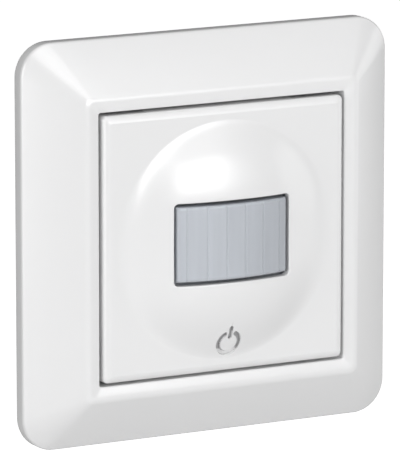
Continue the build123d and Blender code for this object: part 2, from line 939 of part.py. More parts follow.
def insert_housing():
    body = slab(housing_outline(0), terminal_back, 0)
    body = chamfer(body.edges().group_by(Axis.Z)[0], housing_edge_bevel)
    floor = terminal_back + housing_wall
    body -= slab(housing_outline(housing_wall), floor, overrun)
    chamber_top = terminal_back + terminal_depth
    chamber = chamber_outline(chamber_wall) & housing_outline(housing_wall / 2)
    body += slab(chamber, floor - housing_wall / 2, chamber_top + chamber_wall)
    body -= slab(chamber_outline(0), terminal_back - overrun, chamber_top)
    within = slab(housing_outline(housing_wall / 2), terminal_back, 0)
    for place in boss_places():
        boss = slab(place * peg(boss_radius), power_board_back, 0)
        boss += slab(place * peg(boss_foot_radius), floor - housing_wall / 2, power_board_back)
        body += boss & within
    for place in boss_places():
        pilot = place * bore(ring_screw_radius + running_fit)
        body -= slab(pilot, power_board_back, overrun)
    return body


def insert_lid():
    outline = housing_outline(housing_wall + lid_gap)
    outline -= socket_outline(lid_gap)
    legs = Part()
    for place in boss_places():
        outline -= place * bore(boss_radius + lid_gap)
        leg = peg(boss_foot_radius) - bore(boss_radius + lid_gap)
        legs += slab(place * leg, -power_board_depth, -lid_setback)
    legs = legs & slab(housing_outline(housing_wall + lid_gap), terminal_back, 0)
    return slab(outline, -lid_setback - lid_thickness, -lid_setback) + legs


def power_board():
    outline = housing_outline(housing_wall + power_board_gap)
    for place in boss_places():
        outline -= place * bore(boss_radius + lid_gap)
    return slab(outline, power_board_back, -power_board_depth)


def relay():
    outline = Rectangle(relay_length, relay_width)
    body = slab(outline, power_board_back - relay_height, power_board_back)
    body = chamfer(body.edges().filter_by(Axis.Z), relay_edge_bevel)
    return Pos(relay_x, relay_y, 0) * body


def film_capacitor():
    outline = Rectangle(film_capacitor_length, film_capacitor_width)
    body = slab(outline, power_board_back - film_capacitor_height, power_board_back)
    body = chamfer(body.edges().filter_by(Axis.Z), film_capacitor_width / 12)
    return Pos(film_capacitor_x, film_capacitor_y, 0) * body


# An electrolytic can: a crimp runs round it near its foot
def can_capacitor():
    bottom = power_board_back - can_capacitor_height
    groove_z = power_board_back - can_capacitor_height / 8
    steps = [
        (can_capacitor_radius - can_capacitor_groove, bottom),
        (can_capacitor_radius, bottom + can_capacitor_groove),
        (can_capacitor_radius, groove_z - can_capacitor_groove),
        (can_capacitor_radius - can_capacitor_groove, groove_z),
        (can_capacitor_radius, groove_z + can_capacitor_groove),
        (can_capacitor_radius, power_board_back),
    ]
    return Pos(can_capacitor_x, can_capacitor_y, 0) * small_turned(steps)


def varistor():
    edge = varistor_thickness / 4
    steps = [
        (varistor_radius - edge, -varistor_thickness / 2),
        (varistor_radius, edge - varistor_thickness / 2),
        (varistor_radius, varistor_thickness / 2 - edge),
        (varistor_radius - edge, varistor_thickness / 2),
    ]
    centre_z = power_board_back - varistor_radius - seat_gap
    return Pos(varistor_x, varistor_y, centre_z) * Rot(90, 0, 0) * small_turned(steps)


# A drum choke: two wide ends on a narrow waist
def choke():
    bottom = power_board_back - choke_height
    steps = [
        (choke_radius, bottom),
        (choke_radius, bottom + choke_end),
        (choke_waist, bottom + choke_end),
        (choke_waist, power_board_back - choke_end),
        (choke_radius, power_board_back - choke_end),
        (choke_radius, power_board_back),
    ]
    return Pos(choke_x, choke_y, 0) * small_turned(steps)


def fuse():
    bottom = power_board_back - fuse_height
    edge = fuse_radius / 4
    steps = [(fuse_radius - edge, bottom), (fuse_radius, bottom + edge), (fuse_radius, power_board_back)]
    return Pos(fuse_x, fuse_y, 0) * small_turned(steps)


# The terminals: each block has a wire hole, a release button, a contact and a clamp spring
def terminal_places():
    first = -terminal_pitch * (terminal_count - 1) / 2
    return [Pos(first + terminal_pitch * step, terminal_y, 0) for step in range(terminal_count)]


def wire_hole_top():
    return terminal_back + wire_hole_length


def pocket_top():
    return terminal_back + terminal_depth


def terminal_block():
    outline = Rectangle(terminal_pitch - terminal_fit, terminal_height - terminal_fit)
    block = slab(outline, terminal_back, pocket_top())
    wire_hole = Pos(0, wire_hole_offset) * Circle(wire_hole_radius)
    block -= slab(wire_hole, terminal_back - overrun, wire_hole_top() + overrun)
    release_side = release_width + 2 * running_fit
    guide = Pos(0, release_offset) * Rectangle(release_side, release_height + 2 * running_fit)
    block -= slab(guide, terminal_back - overrun, wire_hole_top() + overrun)
    block -= slab(Rectangle(pocket_width, pocket_height), wire_hole_top(), pocket_top() + overrun)
    return block


def terminal_blocks():
    return Compound(children=[place * terminal_block() for place in terminal_places()])


def terminal_contacts():
    contacts = []
    foot = pocket_height / 2
    top = pocket_top() - seat_gap
    outline = Rectangle(contact_width, contact_thickness)
    wall = slab(Pos(0, contact_thickness / 2 - foot) * outline, wire_hole_top() + seat_gap, top)
    roof_outline = Pos(0, contact_thickness / 2) * Rectangle(contact_width, pocket_height - contact_thickness)
    roof = slab(roof_outline, top - contact_thickness, top)
    for place in terminal_places():
        contacts.append(place * (wall + roof))
    return Compound(children=contacts)


def clamp_springs():
    roof = pocket_top() - seat_gap - contact_thickness - clamp_strip / 2
    depth = roof - wire_hole_top()
    foot = -pocket_height / 2 + contact_thickness + clamp_strip
    span = pocket_height - contact_thickness - 2 * clamp_strip
    start = (foot + span * clamp_top_share, roof)
    bend = (foot + span * clamp_bend_share, roof)
    edge = (foot + span * clamp_edge_y_share, roof - depth * clamp_edge_z_share)
    strip = trace(Polyline(start, bend, edge), clamp_strip)
    clamp = extrude(Plane.YZ * strip, clamp_width / 2, both=True)
    return Compound(children=[place * clamp for place in terminal_places()])


def release_button(step):
    back = terminal_back - release_travel - release_proud
    front = wire_hole_top() + release_reach
    outline = Rectangle(release_width, release_height)
    button = slab(outline, back, front - release_height / 2)
    tip = Rectangle(release_width, release_height / 2)
    button += slab(Pos(0, release_height / 4) * tip, back, front)
    slot = Rectangle(release_width + overrun, release_slot_width)
    button -= slab(slot, back - overrun, back + release_slot_depth)
    return terminal_places()[step] * Pos(0, release_offset, 0) * button


# The claws: each swings about a pin in the ring's lugs when its screw lifts the nut against its ramps
def claw(side):
    plate_length = claw_length - claw_hinge_depth
    arm = Box(claw_width, claw_thickness, plate_length)
    arm = Pos(0, 0, -claw_hinge_depth - plate_length / 2) * arm
    slot_width = 2 * claw_ramp_inner_x
    slot_top = -claw_ramp_high + claw_thickness
    slot_bottom = -claw_ramp_low
    slot = Box(slot_width, 2 * claw_thickness, slot_top - slot_bottom)
    arm -= Pos(0, 0, (slot_top + slot_bottom) / 2) * slot
    ramp_profile = make_face(
        Polyline(
            (-claw_thickness / 2, -claw_ramp_low),
            (-claw_thickness / 2 - claw_ramp_depth, -claw_ramp_high),
            (-claw_thickness / 2, -claw_ramp_high + claw_thickness),
            (0, -claw_ramp_high + claw_thickness),
            (0, -claw_ramp_low),
            close=True,
        )
    )
    ramp_width = (claw_width / 2 - claw_ramp_inner_x) / 2
    ramp = extrude(Plane.YZ * ramp_profile, ramp_width / 2, both=True)
    for x in both_sides(claw_ramp_inner_x + ramp_width / 2):
        arm += Pos(x, 0, 0) * ramp
    for step in range(claw_teeth):
        low = -claw_length + step * claw_tooth_pitch
        tooth_profile = make_face(
            Polyline(
                (0, low),
                (claw_thickness / 2, low),
                (claw_thickness / 2 + claw_tooth, low + claw_tooth_pitch / 3),
                (claw_thickness / 2, low + claw_tooth_pitch),
                (0, low + claw_tooth_pitch),
                close=True,
            )
        )
        arm += extrude(Plane.YZ * tooth_profile, claw_width / 2, both=True)
    hub = extrude(peg(claw_hub_radius), claw_width / 2, both=True)
    hub -= extrude(bore(claw_hub_radius), claw_ramp_inner_x, both=True)
    hub += extrude(peg(claw_thickness / 2), claw_width / 2, both=True)
    pin = extrude(peg(claw_pin_radius), claw_width / 2 + seat_gap + claw_lug_thickness, both=True)
    arm += Pos(0, 0, -claw_hinge_depth) * Rot(0, 90, 0) * (hub + pin)
    turned = Rot(0, 0, 0 if side > 0 else 180) * Pos(0, claw_y, 0) * arm
    return turned


def claw_screw(side):
    bottom = ring_thickness - claw_screw_length
    head_bottom = ring_thickness + seat_gap
    head_top = ring_thickness + claw_screw_head_height
    point = claw_screw_radius / 3
    edge = claw_screw_head_height / 4
    screw = small_turned(
        [
            (claw_screw_radius - point, bottom),
            (claw_screw_radius, bottom + point),
            (claw_screw_radius, head_bottom),
            (claw_screw_head_radius, head_bottom),
            (claw_screw_head_radius, head_top - edge),
            (claw_screw_head_radius - edge, head_top),
        ]
    )
    for turn in (0, 90):
        slot = Rectangle(claw_screw_head_radius * 5 / 4, screw_slot_width, rotation=turn)
        screw -= slab(slot, head_top - screw_slot_depth, head_top + overrun)
    return Pos(0, side * claw_screw_y, 0) * screw


def claw_nut(side):
    body = slab(Rectangle(nut_width, nut_height), -nut_depth, -nut_depth + nut_thickness)
    outer_edge = body.edges().filter_by(Axis.X).sort_by(Axis.Y)[-2:].sort_by(Axis.Z)[-1]
    body = chamfer(outer_edge, nut_bevel)
    body -= slab(bore(claw_screw_radius + running_fit), -nut_depth - overrun, 0)
    return Rot(0, 0, 0 if side > 0 else 180) * Pos(0, claw_screw_y, 0) * body


def main():
    os.makedirs("parts", exist_ok=True)
    pieces = {
        "surround_frame": surround_frame(),
        "button_cover": button_cover(),
        "fresnel_lens": fresnel_lens(),
        "lens_hood": lens_hood(),
        "sensor_carrier": sensor_carrier(),
        "sensor_board": sensor_board(),
        "board_screws": board_screws(),
        "pir_detector": pir_detector(),
        "pir_filter": pir_filter(),
        "light_sensor": light_sensor(),
        "status_light": status_light(),
        "control_chip": control_chip(),
        "push_switch": push_switch(),
        "push_plunger": push_plunger(),
        "trimmer_bodies": trimmer_bodies(),
        "time_trimmer": trimmer_rotor(-1),
        "light_level_trimmer": trimmer_rotor(0),
        "range_trimmer": trimmer_rotor(1),
        "return_springs": return_springs(),
        "plug_pins": plug_pins(),
        "pin_strip": pin_strip(),
        "mounting_ring": mounting_ring(),
        "ring_screws": ring_screws(),
        "insert_housing": insert_housing(),
        "insert_lid": insert_lid(),
        "plug_socket": plug_socket(),
        "power_board": power_board(),
        "relay": relay(),
        "film_capacitor": film_capacitor(),
        "can_capacitor": can_capacitor(),
        "varistor": varistor(),
        "choke": choke(),
        "fuse": fuse(),
        "terminal_blocks": terminal_blocks(),
        "terminal_contacts": terminal_contacts(),
        "clamp_springs": clamp_springs(),
        "release_live": release_button(0),
        "release_neutral": release_button(1),
        "release_lamp": release_button(2),
        "release_extension": release_button(3),
        "claw_top": claw(1),
        "claw_bottom": claw(-1),
        "claw_screw_top": claw_screw(1),
        "claw_screw_bottom": claw_screw(-1),
        "claw_nut_top": claw_nut(1),
        "claw_nut_bottom": claw_nut(-1),
    }
    for name, piece in pieces.items():
        save(name, on_wall(piece))


main()
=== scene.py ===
# %% [markdown]
# A motion sensor light switch for a flush box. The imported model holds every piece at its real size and
# place. This lesson loads it as a fixed frame, makes the three pieces that a person looks at as fine
# surfaces (surround frame, button cover, lens), and gives every piece a finish made of nodes. Sizes are
# written in millimetres times mm, because Blender works in metres here.

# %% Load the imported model
import math

import bpy
import numpy as np
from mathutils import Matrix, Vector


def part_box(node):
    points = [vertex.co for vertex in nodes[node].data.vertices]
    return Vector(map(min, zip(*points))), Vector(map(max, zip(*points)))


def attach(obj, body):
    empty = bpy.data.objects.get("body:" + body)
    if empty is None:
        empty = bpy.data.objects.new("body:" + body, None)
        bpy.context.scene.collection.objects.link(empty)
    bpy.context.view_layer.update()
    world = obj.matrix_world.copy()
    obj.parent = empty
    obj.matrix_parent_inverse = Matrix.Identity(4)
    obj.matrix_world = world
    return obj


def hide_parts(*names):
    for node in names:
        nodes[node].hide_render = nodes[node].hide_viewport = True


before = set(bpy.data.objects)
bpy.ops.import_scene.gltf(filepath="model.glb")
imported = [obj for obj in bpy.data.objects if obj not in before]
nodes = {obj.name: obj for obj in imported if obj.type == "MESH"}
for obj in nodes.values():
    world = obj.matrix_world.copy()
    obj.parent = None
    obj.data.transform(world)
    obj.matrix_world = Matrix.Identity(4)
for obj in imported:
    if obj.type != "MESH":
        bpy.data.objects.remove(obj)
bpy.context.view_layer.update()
mm = 0.001

# %% [markdown]
# The frame is a square seen from the room, so its box gives the driving sizes: half its side, and how far
# its crest stands off the wall. The wall is the plane y = 0 and the room is on the side where y is
# negative, so a height off the wall is minus y.

# %% Driving sizes, read from the model
frame_low, frame_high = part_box("surround_frame")
cover_low, cover_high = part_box("button_cover")
lens_low, lens_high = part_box("fresnel_lens")
half_frame = frame_high.x
crest_height = -frame_low.y
half_cover = cover_high.x
skirt_bottom = -cover_high.y
lens_top = -lens_low.y
lens_back = -lens_high.y
print("half frame", half_frame, "crest", crest_height, "half cover", half_cover, "cover top", -cover_low.y)

# %% [markdown]
# Small tools make all the surfaces. A profile is a chain of corners, each with its own rounding: the
# corner is swapped for the arc that touches both its sides. A rounded square is a loop of points with the
# same count whatever its size, so that loops of different sizes join up into a grid. A grid that closes
# on itself both ways, as a ring's skin does, becomes quads by shifting its array of numbers by one row or
# one column, with no loop over its vertices.

# %% Tools: a rounded profile, loops of rounded squares, quads of a grid, a piece


def rounded_profile(corners, arc_steps=6):
    """Points round a closed chain of (x, y, radius) corners. At each corner the two tangent points lie
    radius / tan(half the corner's angle) back along the sides, and the arc between them is swept about the
    centre that lies on the corner's bisector."""
    points = []
    for index, (x, y, radius) in enumerate(corners):
        here = np.array([x, y])
        if radius == 0:
            points.append(here)
            continue
        before = np.array(corners[index - 1][:2]) - here
        after = np.array(corners[(index + 1) % len(corners)][:2]) - here
        before /= np.linalg.norm(before)
        after /= np.linalg.norm(after)
        half_angle = math.acos(np.clip(before @ after, -1, 1)) / 2
        reach = radius / math.tan(half_angle)
        bisector = (before + after) / np.linalg.norm(before + after)
        centre = here + bisector * radius / math.sin(half_angle)
        start = here + before * reach - centre
        end = here + after * reach - centre
        turn = math.atan2(start[0] * end[1] - start[1] * end[0], start @ end)
        angles = np.linspace(0, turn, arc_steps + 1)
        cosines, sines = np.cos(angles), np.sin(angles)
        arc_x = centre[0] + start[0] * cosines - start[1] * sines
        arc_y = centre[1] + start[0] * sines + start[1] * cosines
        points.extend(np.stack([arc_x, arc_y], axis=1))
    return np.array(points)


def rounded_square_loops(halves, corner_radii, arc_steps, side_steps):
    """One loop for each (half side, corner radius): along each quarter, the corner's arc about the point
    that lies one radius in from both sides, then the straight side to the next corner."""
    halves = np.asarray(halves)[:, None]
    radii = np.minimum(np.asarray(corner_radii)[:, None], halves)
    inset = halves - radii
    share = np.linspace(0, 1, side_steps + 1)[None, 1:-1]
    loops = []
    for quarter in range(4):
        angles = (quarter + np.linspace(0, 1, arc_steps + 1))[None, :] * math.pi / 2
        middle = (quarter + 0.5) * math.pi / 2
        arc_x = inset * np.sign(math.cos(middle)) + radii * np.cos(angles)
        arc_z = inset * np.sign(math.sin(middle)) + radii * np.sin(angles)
        turn = (quarter + 1) * math.pi / 2
        next_x = arc_x[:, -1:] - 2 * inset * np.sin(turn)
        next_z = arc_z[:, -1:] + 2 * inset * np.cos(turn)
        side_x = arc_x[:, -1:] + (next_x - arc_x[:, -1:]) * share
        side_z = arc_z[:, -1:] + (next_z - arc_z[:, -1:]) * share
        loops.append(np.stack([np.hstack([arc_x, side_x]), np.hstack([arc_z, side_z])], axis=2))
    return np.concatenate(loops, axis=1)


def grid_quads(rows, columns):
    """Quads that join each point of a grid to its right and lower neighbours, with the last row and the
    last column joined to the first."""
    index = np.arange(rows * columns).reshape(rows, columns)
    right = np.roll(index, -1, axis=1)
    below = np.roll(index, -1, axis=0)
    corner = np.roll(right, -1, axis=0)
    return np.stack([index, right, corner, below], axis=2).reshape(-1, 4)


def new_piece(name, points, faces):
    """A smooth shaded object from an array of points and a list of faces. It prints the signed volume, the
    sum over the triangles of a . (b x c) / 6, which is positive when the faces point out."""
    mesh = bpy.data.meshes.new(name)
    mesh.from_pydata(points.tolist(), [], faces)
    mesh.polygons.foreach_set("use_smooth", np.ones(len(faces), dtype=bool))
    mesh.update()
    piece = bpy.data.objects.new(name, mesh)
    bpy.context.scene.collection.objects.link(piece)
    mesh.calc_loop_triangles()
    corners = np.empty(len(mesh.loop_triangles) * 3, np.int32)
    mesh.loop_triangles.foreach_get("vertices", corners)
    a, b, c = points[corners.reshape(-1, 3)].transpose(1, 0, 2)
    volume = np.einsum("ij,ij->i", a, np.cross(b, c)).sum() / 6
    print(name, "has", len(faces), "faces and", round(volume / mm**3), "cubic millimetres")
    return piece


# %% [markdown]
# The surround frame is one injection moulding: a low side wall with a large corner, a straight bevel that
# rises 35 degrees to a soft crest, and a narrow land that dips to the opening. A bevelled cube would give
# the same rounding everywhere. Here the moulding's section is carried round the square, and the corner
# radius is a property of the section's place, large at the outer wall and nearly sharp at the opening, so
# the corners become the soft cones that the real one shows.

# %% Surround frame: its section
shoulder_height = 2.96 * mm
bevel_width = 11.06 * mm
opening_gap = 0.68 * mm
land_dip = 0.4 * mm
frame_wall = 1.8 * mm
ledge_back = 1.2 * mm
ledge_front = 3.0 * mm
ledge_half = 25.3 * mm
crest_half = half_frame - bevel_width
opening_half = half_cover + opening_gap
bevel_angle = math.atan2(crest_height - shoulder_height, bevel_width)
wall_drop = frame_wall / math.cos(bevel_angle)
inner_shoulder = shoulder_height + frame_wall * math.tan(bevel_angle) - wall_drop
ceiling = crest_height - land_dip - frame_wall
ceiling_half = half_frame - (ceiling - shoulder_height + wall_drop) / math.tan(bevel_angle)

# Where the crest's corner would stand without its rounding, so that the rounded crest has its real height
crest_round = 2.2 * mm
crest_share = 0.97
land_angle = math.atan2(land_dip, crest_half - opening_half)
tilt, turn = (bevel_angle - land_angle) / 2, (bevel_angle + land_angle) / 2
crest_corner_height = crest_height + crest_round * (math.cos(tilt) / math.cos(turn) - 1) * crest_share

rim_round = 0.2 * mm
shoulder_round = 1.0 * mm
land_round = 0.35 * mm
ceiling_round = 0.3 * mm
inner_round = 0.5 * mm
edge_round = 0.1 * mm
frame_section = rounded_profile(
    [
        (half_frame, 0, rim_round),
        (half_frame, shoulder_height, shoulder_round),
        (crest_half, crest_corner_height, crest_round),
        (opening_half, crest_height - land_dip, land_round),
        (opening_half, ledge_front, rim_round),
        (ledge_half, ledge_front, edge_round),
        (ledge_half, ledge_back, edge_round),
        (opening_half + frame_wall, ledge_back, edge_round),
        (opening_half + frame_wall, ceiling, ceiling_round),
        (ceiling_half, ceiling, 0),
        (half_frame - frame_wall, inner_shoulder, inner_round),
        (half_frame - frame_wall, 0, edge_round),
    ]
)
print("section of", len(frame_section), "points, bevel", round(math.degrees(bevel_angle), 1), "degrees")

# %% Surround frame: the section carried round the square
outer_corner = 7.0 * mm
crest_corner = 1.6 * mm
opening_corner = 0.5 * mm
frame_corners = np.interp(
    frame_section[:, 0],
    [ledge_half, opening_half, crest_half, half_frame - frame_wall, half_frame],
    [opening_corner, opening_corner, crest_corner, outer_corner - frame_wall, outer_corner],
)
frame_loops = rounded_square_loops(frame_section[:, 0], frame_corners, arc_steps=14, side_steps=12)
frame_y = np.broadcast_to(-frame_section[:, 1][:, None], frame_loops.shape[:2])
frame_grid = np.stack([frame_loops[..., 0], frame_y, frame_loops[..., 1]], axis=2)
frame_quads = grid_quads(*frame_grid.shape[:2])
surround = new_piece("surround", frame_grid.reshape(-1, 3), frame_quads.tolist())

# %% [markdown]
# The button cover carries the most shape: a flat square plate with a crisp rounded edge, a shallow dome
# with a soft foot, a window in the dome, and a sign pressed into its lower slope. A sculpted or boolean
# cut cube would leave long thin faces that shine unevenly. So all of it is one grid of rays and rings.
# The rays start at the window's edge, the rings change from the window's outline to the dome's round foot
# and then to the square, and the height is one formula of the place. Rays are closer together at the
# corners and across the sign, which needs the finest mesh.

# %% Button cover: rays
window_half_x = 13.19 * mm
window_half_z = 8.52 * mm
window_rise = 0.37 * mm
sign_z = -21.3 * mm
sign_half_width = 3.3 * mm
ray_step = 1.8
sign_ray_step = 0.2
least_ray_step = 0.06


def ray_angles():
    """Angles of the rays: even steps of the whole turn, with more about the window's corners, the plate's
    corners and the sign."""
    window_turn = math.degrees(math.atan2(window_half_z, window_half_x))
    near_window = np.linspace(-5, 5, 21)
    near_corner = np.linspace(-1.4, 1.4, 13)
    groups = [np.arange(0, 360, ray_step)]
    for centre in (window_turn, 180 - window_turn, 180 + window_turn, 360 - window_turn):
        groups.append(centre + near_window)
    for centre in (45, 135, 225, 315):
        groups.append(centre + near_corner)
    sign_reach = math.degrees(math.atan2(sign_half_width, -sign_z))
    groups.append(np.arange(270 - sign_reach, 270 + sign_reach, sign_ray_step))
    angles = np.unique(np.round(np.concatenate(groups) % 360, 2))
    keep = np.append(True, np.diff(angles) > least_ray_step)
    return np.radians(angles[keep])


rays = ray_angles()
print(len(rays), "rays")

# %% Button cover: how far each ray runs to an outline


def reach_to_rounded_box(half_x, half_z, corner, rise=0.0):
    """How far each ray from the origin runs to a rounded box: to the nearer of the two sides it heads for,
    or, where that lies in a corner's square, to the corner's circle."""
    tiny = 1e-9
    cosine, sine = np.cos(rays), np.sin(rays)
    side_x = np.where(cosine >= 0, half_x, -half_x)
    side_z = np.where(sine >= 0, rise + half_z, rise - half_z)
    reach_x = side_x / np.where(np.abs(cosine) < tiny, tiny, cosine)
    reach_z = side_z / np.where(np.abs(sine) < tiny, tiny, sine)
    reach = np.minimum(np.abs(reach_x), np.abs(reach_z))
    centre_x = side_x - np.sign(side_x) * corner
    centre_z = side_z - np.sign(side_z - rise) * corner
    along = centre_x * cosine + centre_z * sine
    inside = along**2 - (centre_x**2 + centre_z**2 - corner**2)
    round_reach = along + np.sqrt(np.maximum(inside, 0))
    beyond_x = (reach * cosine - centre_x) * np.sign(side_x) > 0
    beyond_z = (reach * sine - centre_z) * np.sign(side_z - rise) > 0
    return np.where(beyond_x & beyond_z & (inside > 0), round_reach, reach)


window_corner = 1.0 * mm
flat_half = 26.0 * mm
flat_corner = 0.2 * mm
window_reach = reach_to_rounded_box(window_half_x, window_half_z, window_corner, window_rise)
flat_reach = reach_to_rounded_box(flat_half, flat_half, flat_corner)
print("window reach", window_reach.min(), "to", window_reach.max())

# %% Button cover: the height of its face
plate_height = 11.45 * mm
dome_foot = 24.8 * mm
dome_rise = 4.6 * mm


def dome_height(x, z):
    """The plate's height plus a fall to the round foot times a fullness. With u and v the squares of x and z
    as shares of the foot's radius, the fall is 1 - u - v to a power over one, which meets the plate softly,
    and most softly at the sides. The fullness grows with v, which makes the window's upright edges straight,
    as on the real cover."""
    foot_power, side_power = 1.5, 0.7
    side_share, upright_share, corner_share = 0.25, 1.48, 6.2
    u = (x / dome_foot) ** 2
    v = (z / dome_foot) ** 2
    fall = np.maximum(1 - u - v, 0) ** (foot_power + side_power * u)
    fullness = 1 + side_share * u + upright_share * v + corner_share * u * v
    return plate_height + dome_rise * fall * fullness


def sign_distance(x, z):
    """Signed distance to the power sign, negative inside: a ring with a gap at its top, whose ends are
    round, and an upright stroke through the gap."""
    half_stroke = 0.42 * mm
    ring_radius = 2.32 * mm
    stem_reach = 0.95 * mm
    gap_angle = 0.17 * math.pi
    up = z - sign_z
    from_centre = np.hypot(x, up)
    end_x, end_z = ring_radius * math.sin(gap_angle), ring_radius * math.cos(gap_angle)
    end = np.hypot(np.abs(x) - end_x, up - end_z)
    in_gap = np.abs(np.arctan2(x, up)) < gap_angle
    ring = np.where(in_gap, end, np.abs(from_centre - ring_radius))
    stem = np.hypot(x, up - np.clip(up, ring_radius - stem_reach, ring_radius + stem_reach))
    return np.minimum(ring, stem) - half_stroke


def cover_face(x, z):
    """Height of the cover's face: the dome, less the sign's depth inside its outline, with the sign's walls
    falling over a narrow slope as 3 s^2 - 2 s^3."""
    depth = 0.7 * mm
    slope = 0.10 * mm
    share = np.clip(0.5 - sign_distance(x, z) / slope, 0, 1)
    return dome_height(x, z) - depth * share * share * (3 - 2 * share)


print("dome's height in the middle", dome_height(0, 0))

# %% Button cover: rings from the window out over the face
ring_rows = []


def add_ring(reach, height):
    """Keeps one ring: a point on each ray, at its reach and height off the wall, one value or one each."""
    x, z = reach * np.cos(rays), reach * np.sin(rays)
    y = -np.broadcast_to(height, rays.shape)
    ring_rows.append(np.stack([x, y, z], axis=1))


def add_face_ring(reach):
    """Keeps one ring that lies on the cover's face."""
    add_ring(reach, cover_face(reach * np.cos(rays), reach * np.sin(rays)))


window_round = 0.3 * mm
for turn in np.linspace(0, math.pi / 2, 5):
    outward = window_reach + window_round * (1 - math.cos(turn))
    height = cover_face(outward * np.cos(rays), outward * np.sin(rays))
    add_ring(outward, height - window_round * (1 - math.sin(turn)))

# The rings over the sign are close together: its top and bottom as shares of the way from window to foot
sign_top, sign_bottom = 17.6 * mm, 24.4 * mm
down_reach = window_half_z - window_rise
sign_start = (sign_top - down_reach) / (dome_foot - down_reach)
sign_end = (sign_bottom - down_reach) / (dome_foot - down_reach)
first_share = 0.06
before_sign = np.linspace(first_share, sign_start, 14, endpoint=False)
over_sign = np.linspace(sign_start, sign_end, 80)
after_sign = np.linspace(sign_end, 1, 4)[1:]
for share in np.concatenate([before_sign, over_sign, after_sign]):
    add_face_ring(window_reach + (dome_foot - window_reach) * share)
flat_shares = (0.03, 0.2, 0.6, 1.0)
for share in flat_shares:
    add_face_ring(dome_foot + (flat_reach - dome_foot) * share)
print(len(ring_rows), "rings on the face")

# %% Button cover: rings over the rounded edge, round the skirt and back inside
edge_drop = 1.2 * mm
edge_start = 0.22
cover_corner = 0.8 * mm
cover_wall = 1.8 * mm
skirt_wall = 1.5 * mm
skirt_round = 0.1 * mm
inner_corner = 0.5 * mm
hollow_reach = 19.6 * mm
hollow_round = 0.3 * mm

# The edge is a quarter of an ellipse without its first bit, which gives the face its crisp rim
for turn in np.linspace(edge_start, math.pi / 2, 8):
    out_share = (math.sin(turn) - math.sin(edge_start)) / (1 - math.sin(edge_start))
    half = flat_half + (half_cover - flat_half) * out_share
    drop = edge_drop * (math.cos(edge_start) - math.cos(turn)) / math.cos(edge_start)
    add_ring(reach_to_rounded_box(half, half, cover_corner * out_share + flat_corner), plate_height - drop)
skirt_reach = reach_to_rounded_box(half_cover, half_cover, cover_corner + flat_corner)
inner_half = half_cover - skirt_wall
inner_reach = reach_to_rounded_box(inner_half, inner_half, inner_corner)
inner_height = plate_height - cover_wall
add_ring(skirt_reach, skirt_bottom + skirt_round)
add_ring(skirt_reach - skirt_round, skirt_bottom)
add_ring(inner_reach, skirt_bottom)
add_ring(inner_reach, inner_height)
add_ring(hollow_reach + hollow_round, inner_height)
for share in (0, 0.25, 0.5, 0.75, 1):
    reach = hollow_reach + (window_reach - hollow_reach) * share
    under = dome_height(reach * np.cos(rays), reach * np.sin(rays)) - cover_wall
    add_ring(reach, np.maximum(under, inner_height))
shell_grid = np.array(ring_rows)
shell_quads = grid_quads(*shell_grid.shape[:2])[:, ::-1]
cover_points = [shell_grid.reshape(-1, 3)]
cover_faces = shell_quads.tolist()
print(len(ring_rows), "rings in all, which make", len(shell_quads), "quads")

# %% [markdown]
# Behind its face the cover carries what it moves on: two ears with hinge pins, two spring pegs, the post
# that presses the switch and two catches. They could be pieces of their own, but the real ones are
# moulded in one with the cover. Each is a prism, a ring of points and the same ring moved along one axis,
# added to the cover's points and faces.

# %% Button cover: a prism


def add_prism(first, second):
    """Keeps a prism: two equal rings of points joined by quads, with both ends closed. The area vector of a
    ring is the sum of each point crossed with the next. Where it points against the prism's axis, both rings
    are turned round, so that all faces point out."""
    centre = first.mean(axis=0)
    area = np.cross(first - centre, np.roll(first, -1, axis=0) - centre).sum(axis=0)
    if area @ (second.mean(axis=0) - centre) < 0:
        first, second = first[::-1], second[::-1]
    count = len(first)
    near = sum(len(points) for points in cover_points) + np.arange(count)
    after = np.roll(near, -1)
    cover_points.extend([first, second])
    cover_faces.extend(np.stack([near, after, after + count, near + count], axis=1).tolist())
    cover_faces.extend([near[::-1].tolist(), (near + count).tolist()])


def add_post(x, z, low, high):
    """A prism along the depth: x and z are its outline, low and high the heights of its two ends."""
    add_prism(np.stack([x, 0 * x - low, z], axis=1), np.stack([x, 0 * x - high, z], axis=1))


def add_bar(height, z, start, end):
    """A prism along x: height and z are its outline."""
    add_prism(np.stack([0 * z + start, -height, z], axis=1), np.stack([0 * z + end, -height, z], axis=1))


def circle(radius, count=24):
    """The points of a circle, as two arrays."""
    turn = np.arange(count) * 2 * math.pi / count
    return radius * np.cos(turn), radius * np.sin(turn)


# %% Button cover: pegs, post, ears and catches
join = 0.1 * mm
root_height = inner_height + join
peg_place_x = 19.0 * mm
peg_place_z = -19.0 * mm
peg_radius = 1.6 * mm
peg_length = 2.0 * mm
post_half = 1.7 * mm
post_low = 8.6 * mm
hinge_height = 6.4 * mm
hinge_place_z = 21.9 * mm
ear_radius = 1.5 * mm
ear_inner, ear_outer = 16.6 * mm, 18.1 * mm
pin_radius = 1.1 * mm
pin_end = 19.9 * mm
catch_x, catch_z = 12.0 * mm, -25.0 * mm
catch_half_x, catch_half_z = 2.0 * mm, 1.1 * mm
catch_low, catch_high = 5.11 * mm, 6.11 * mm

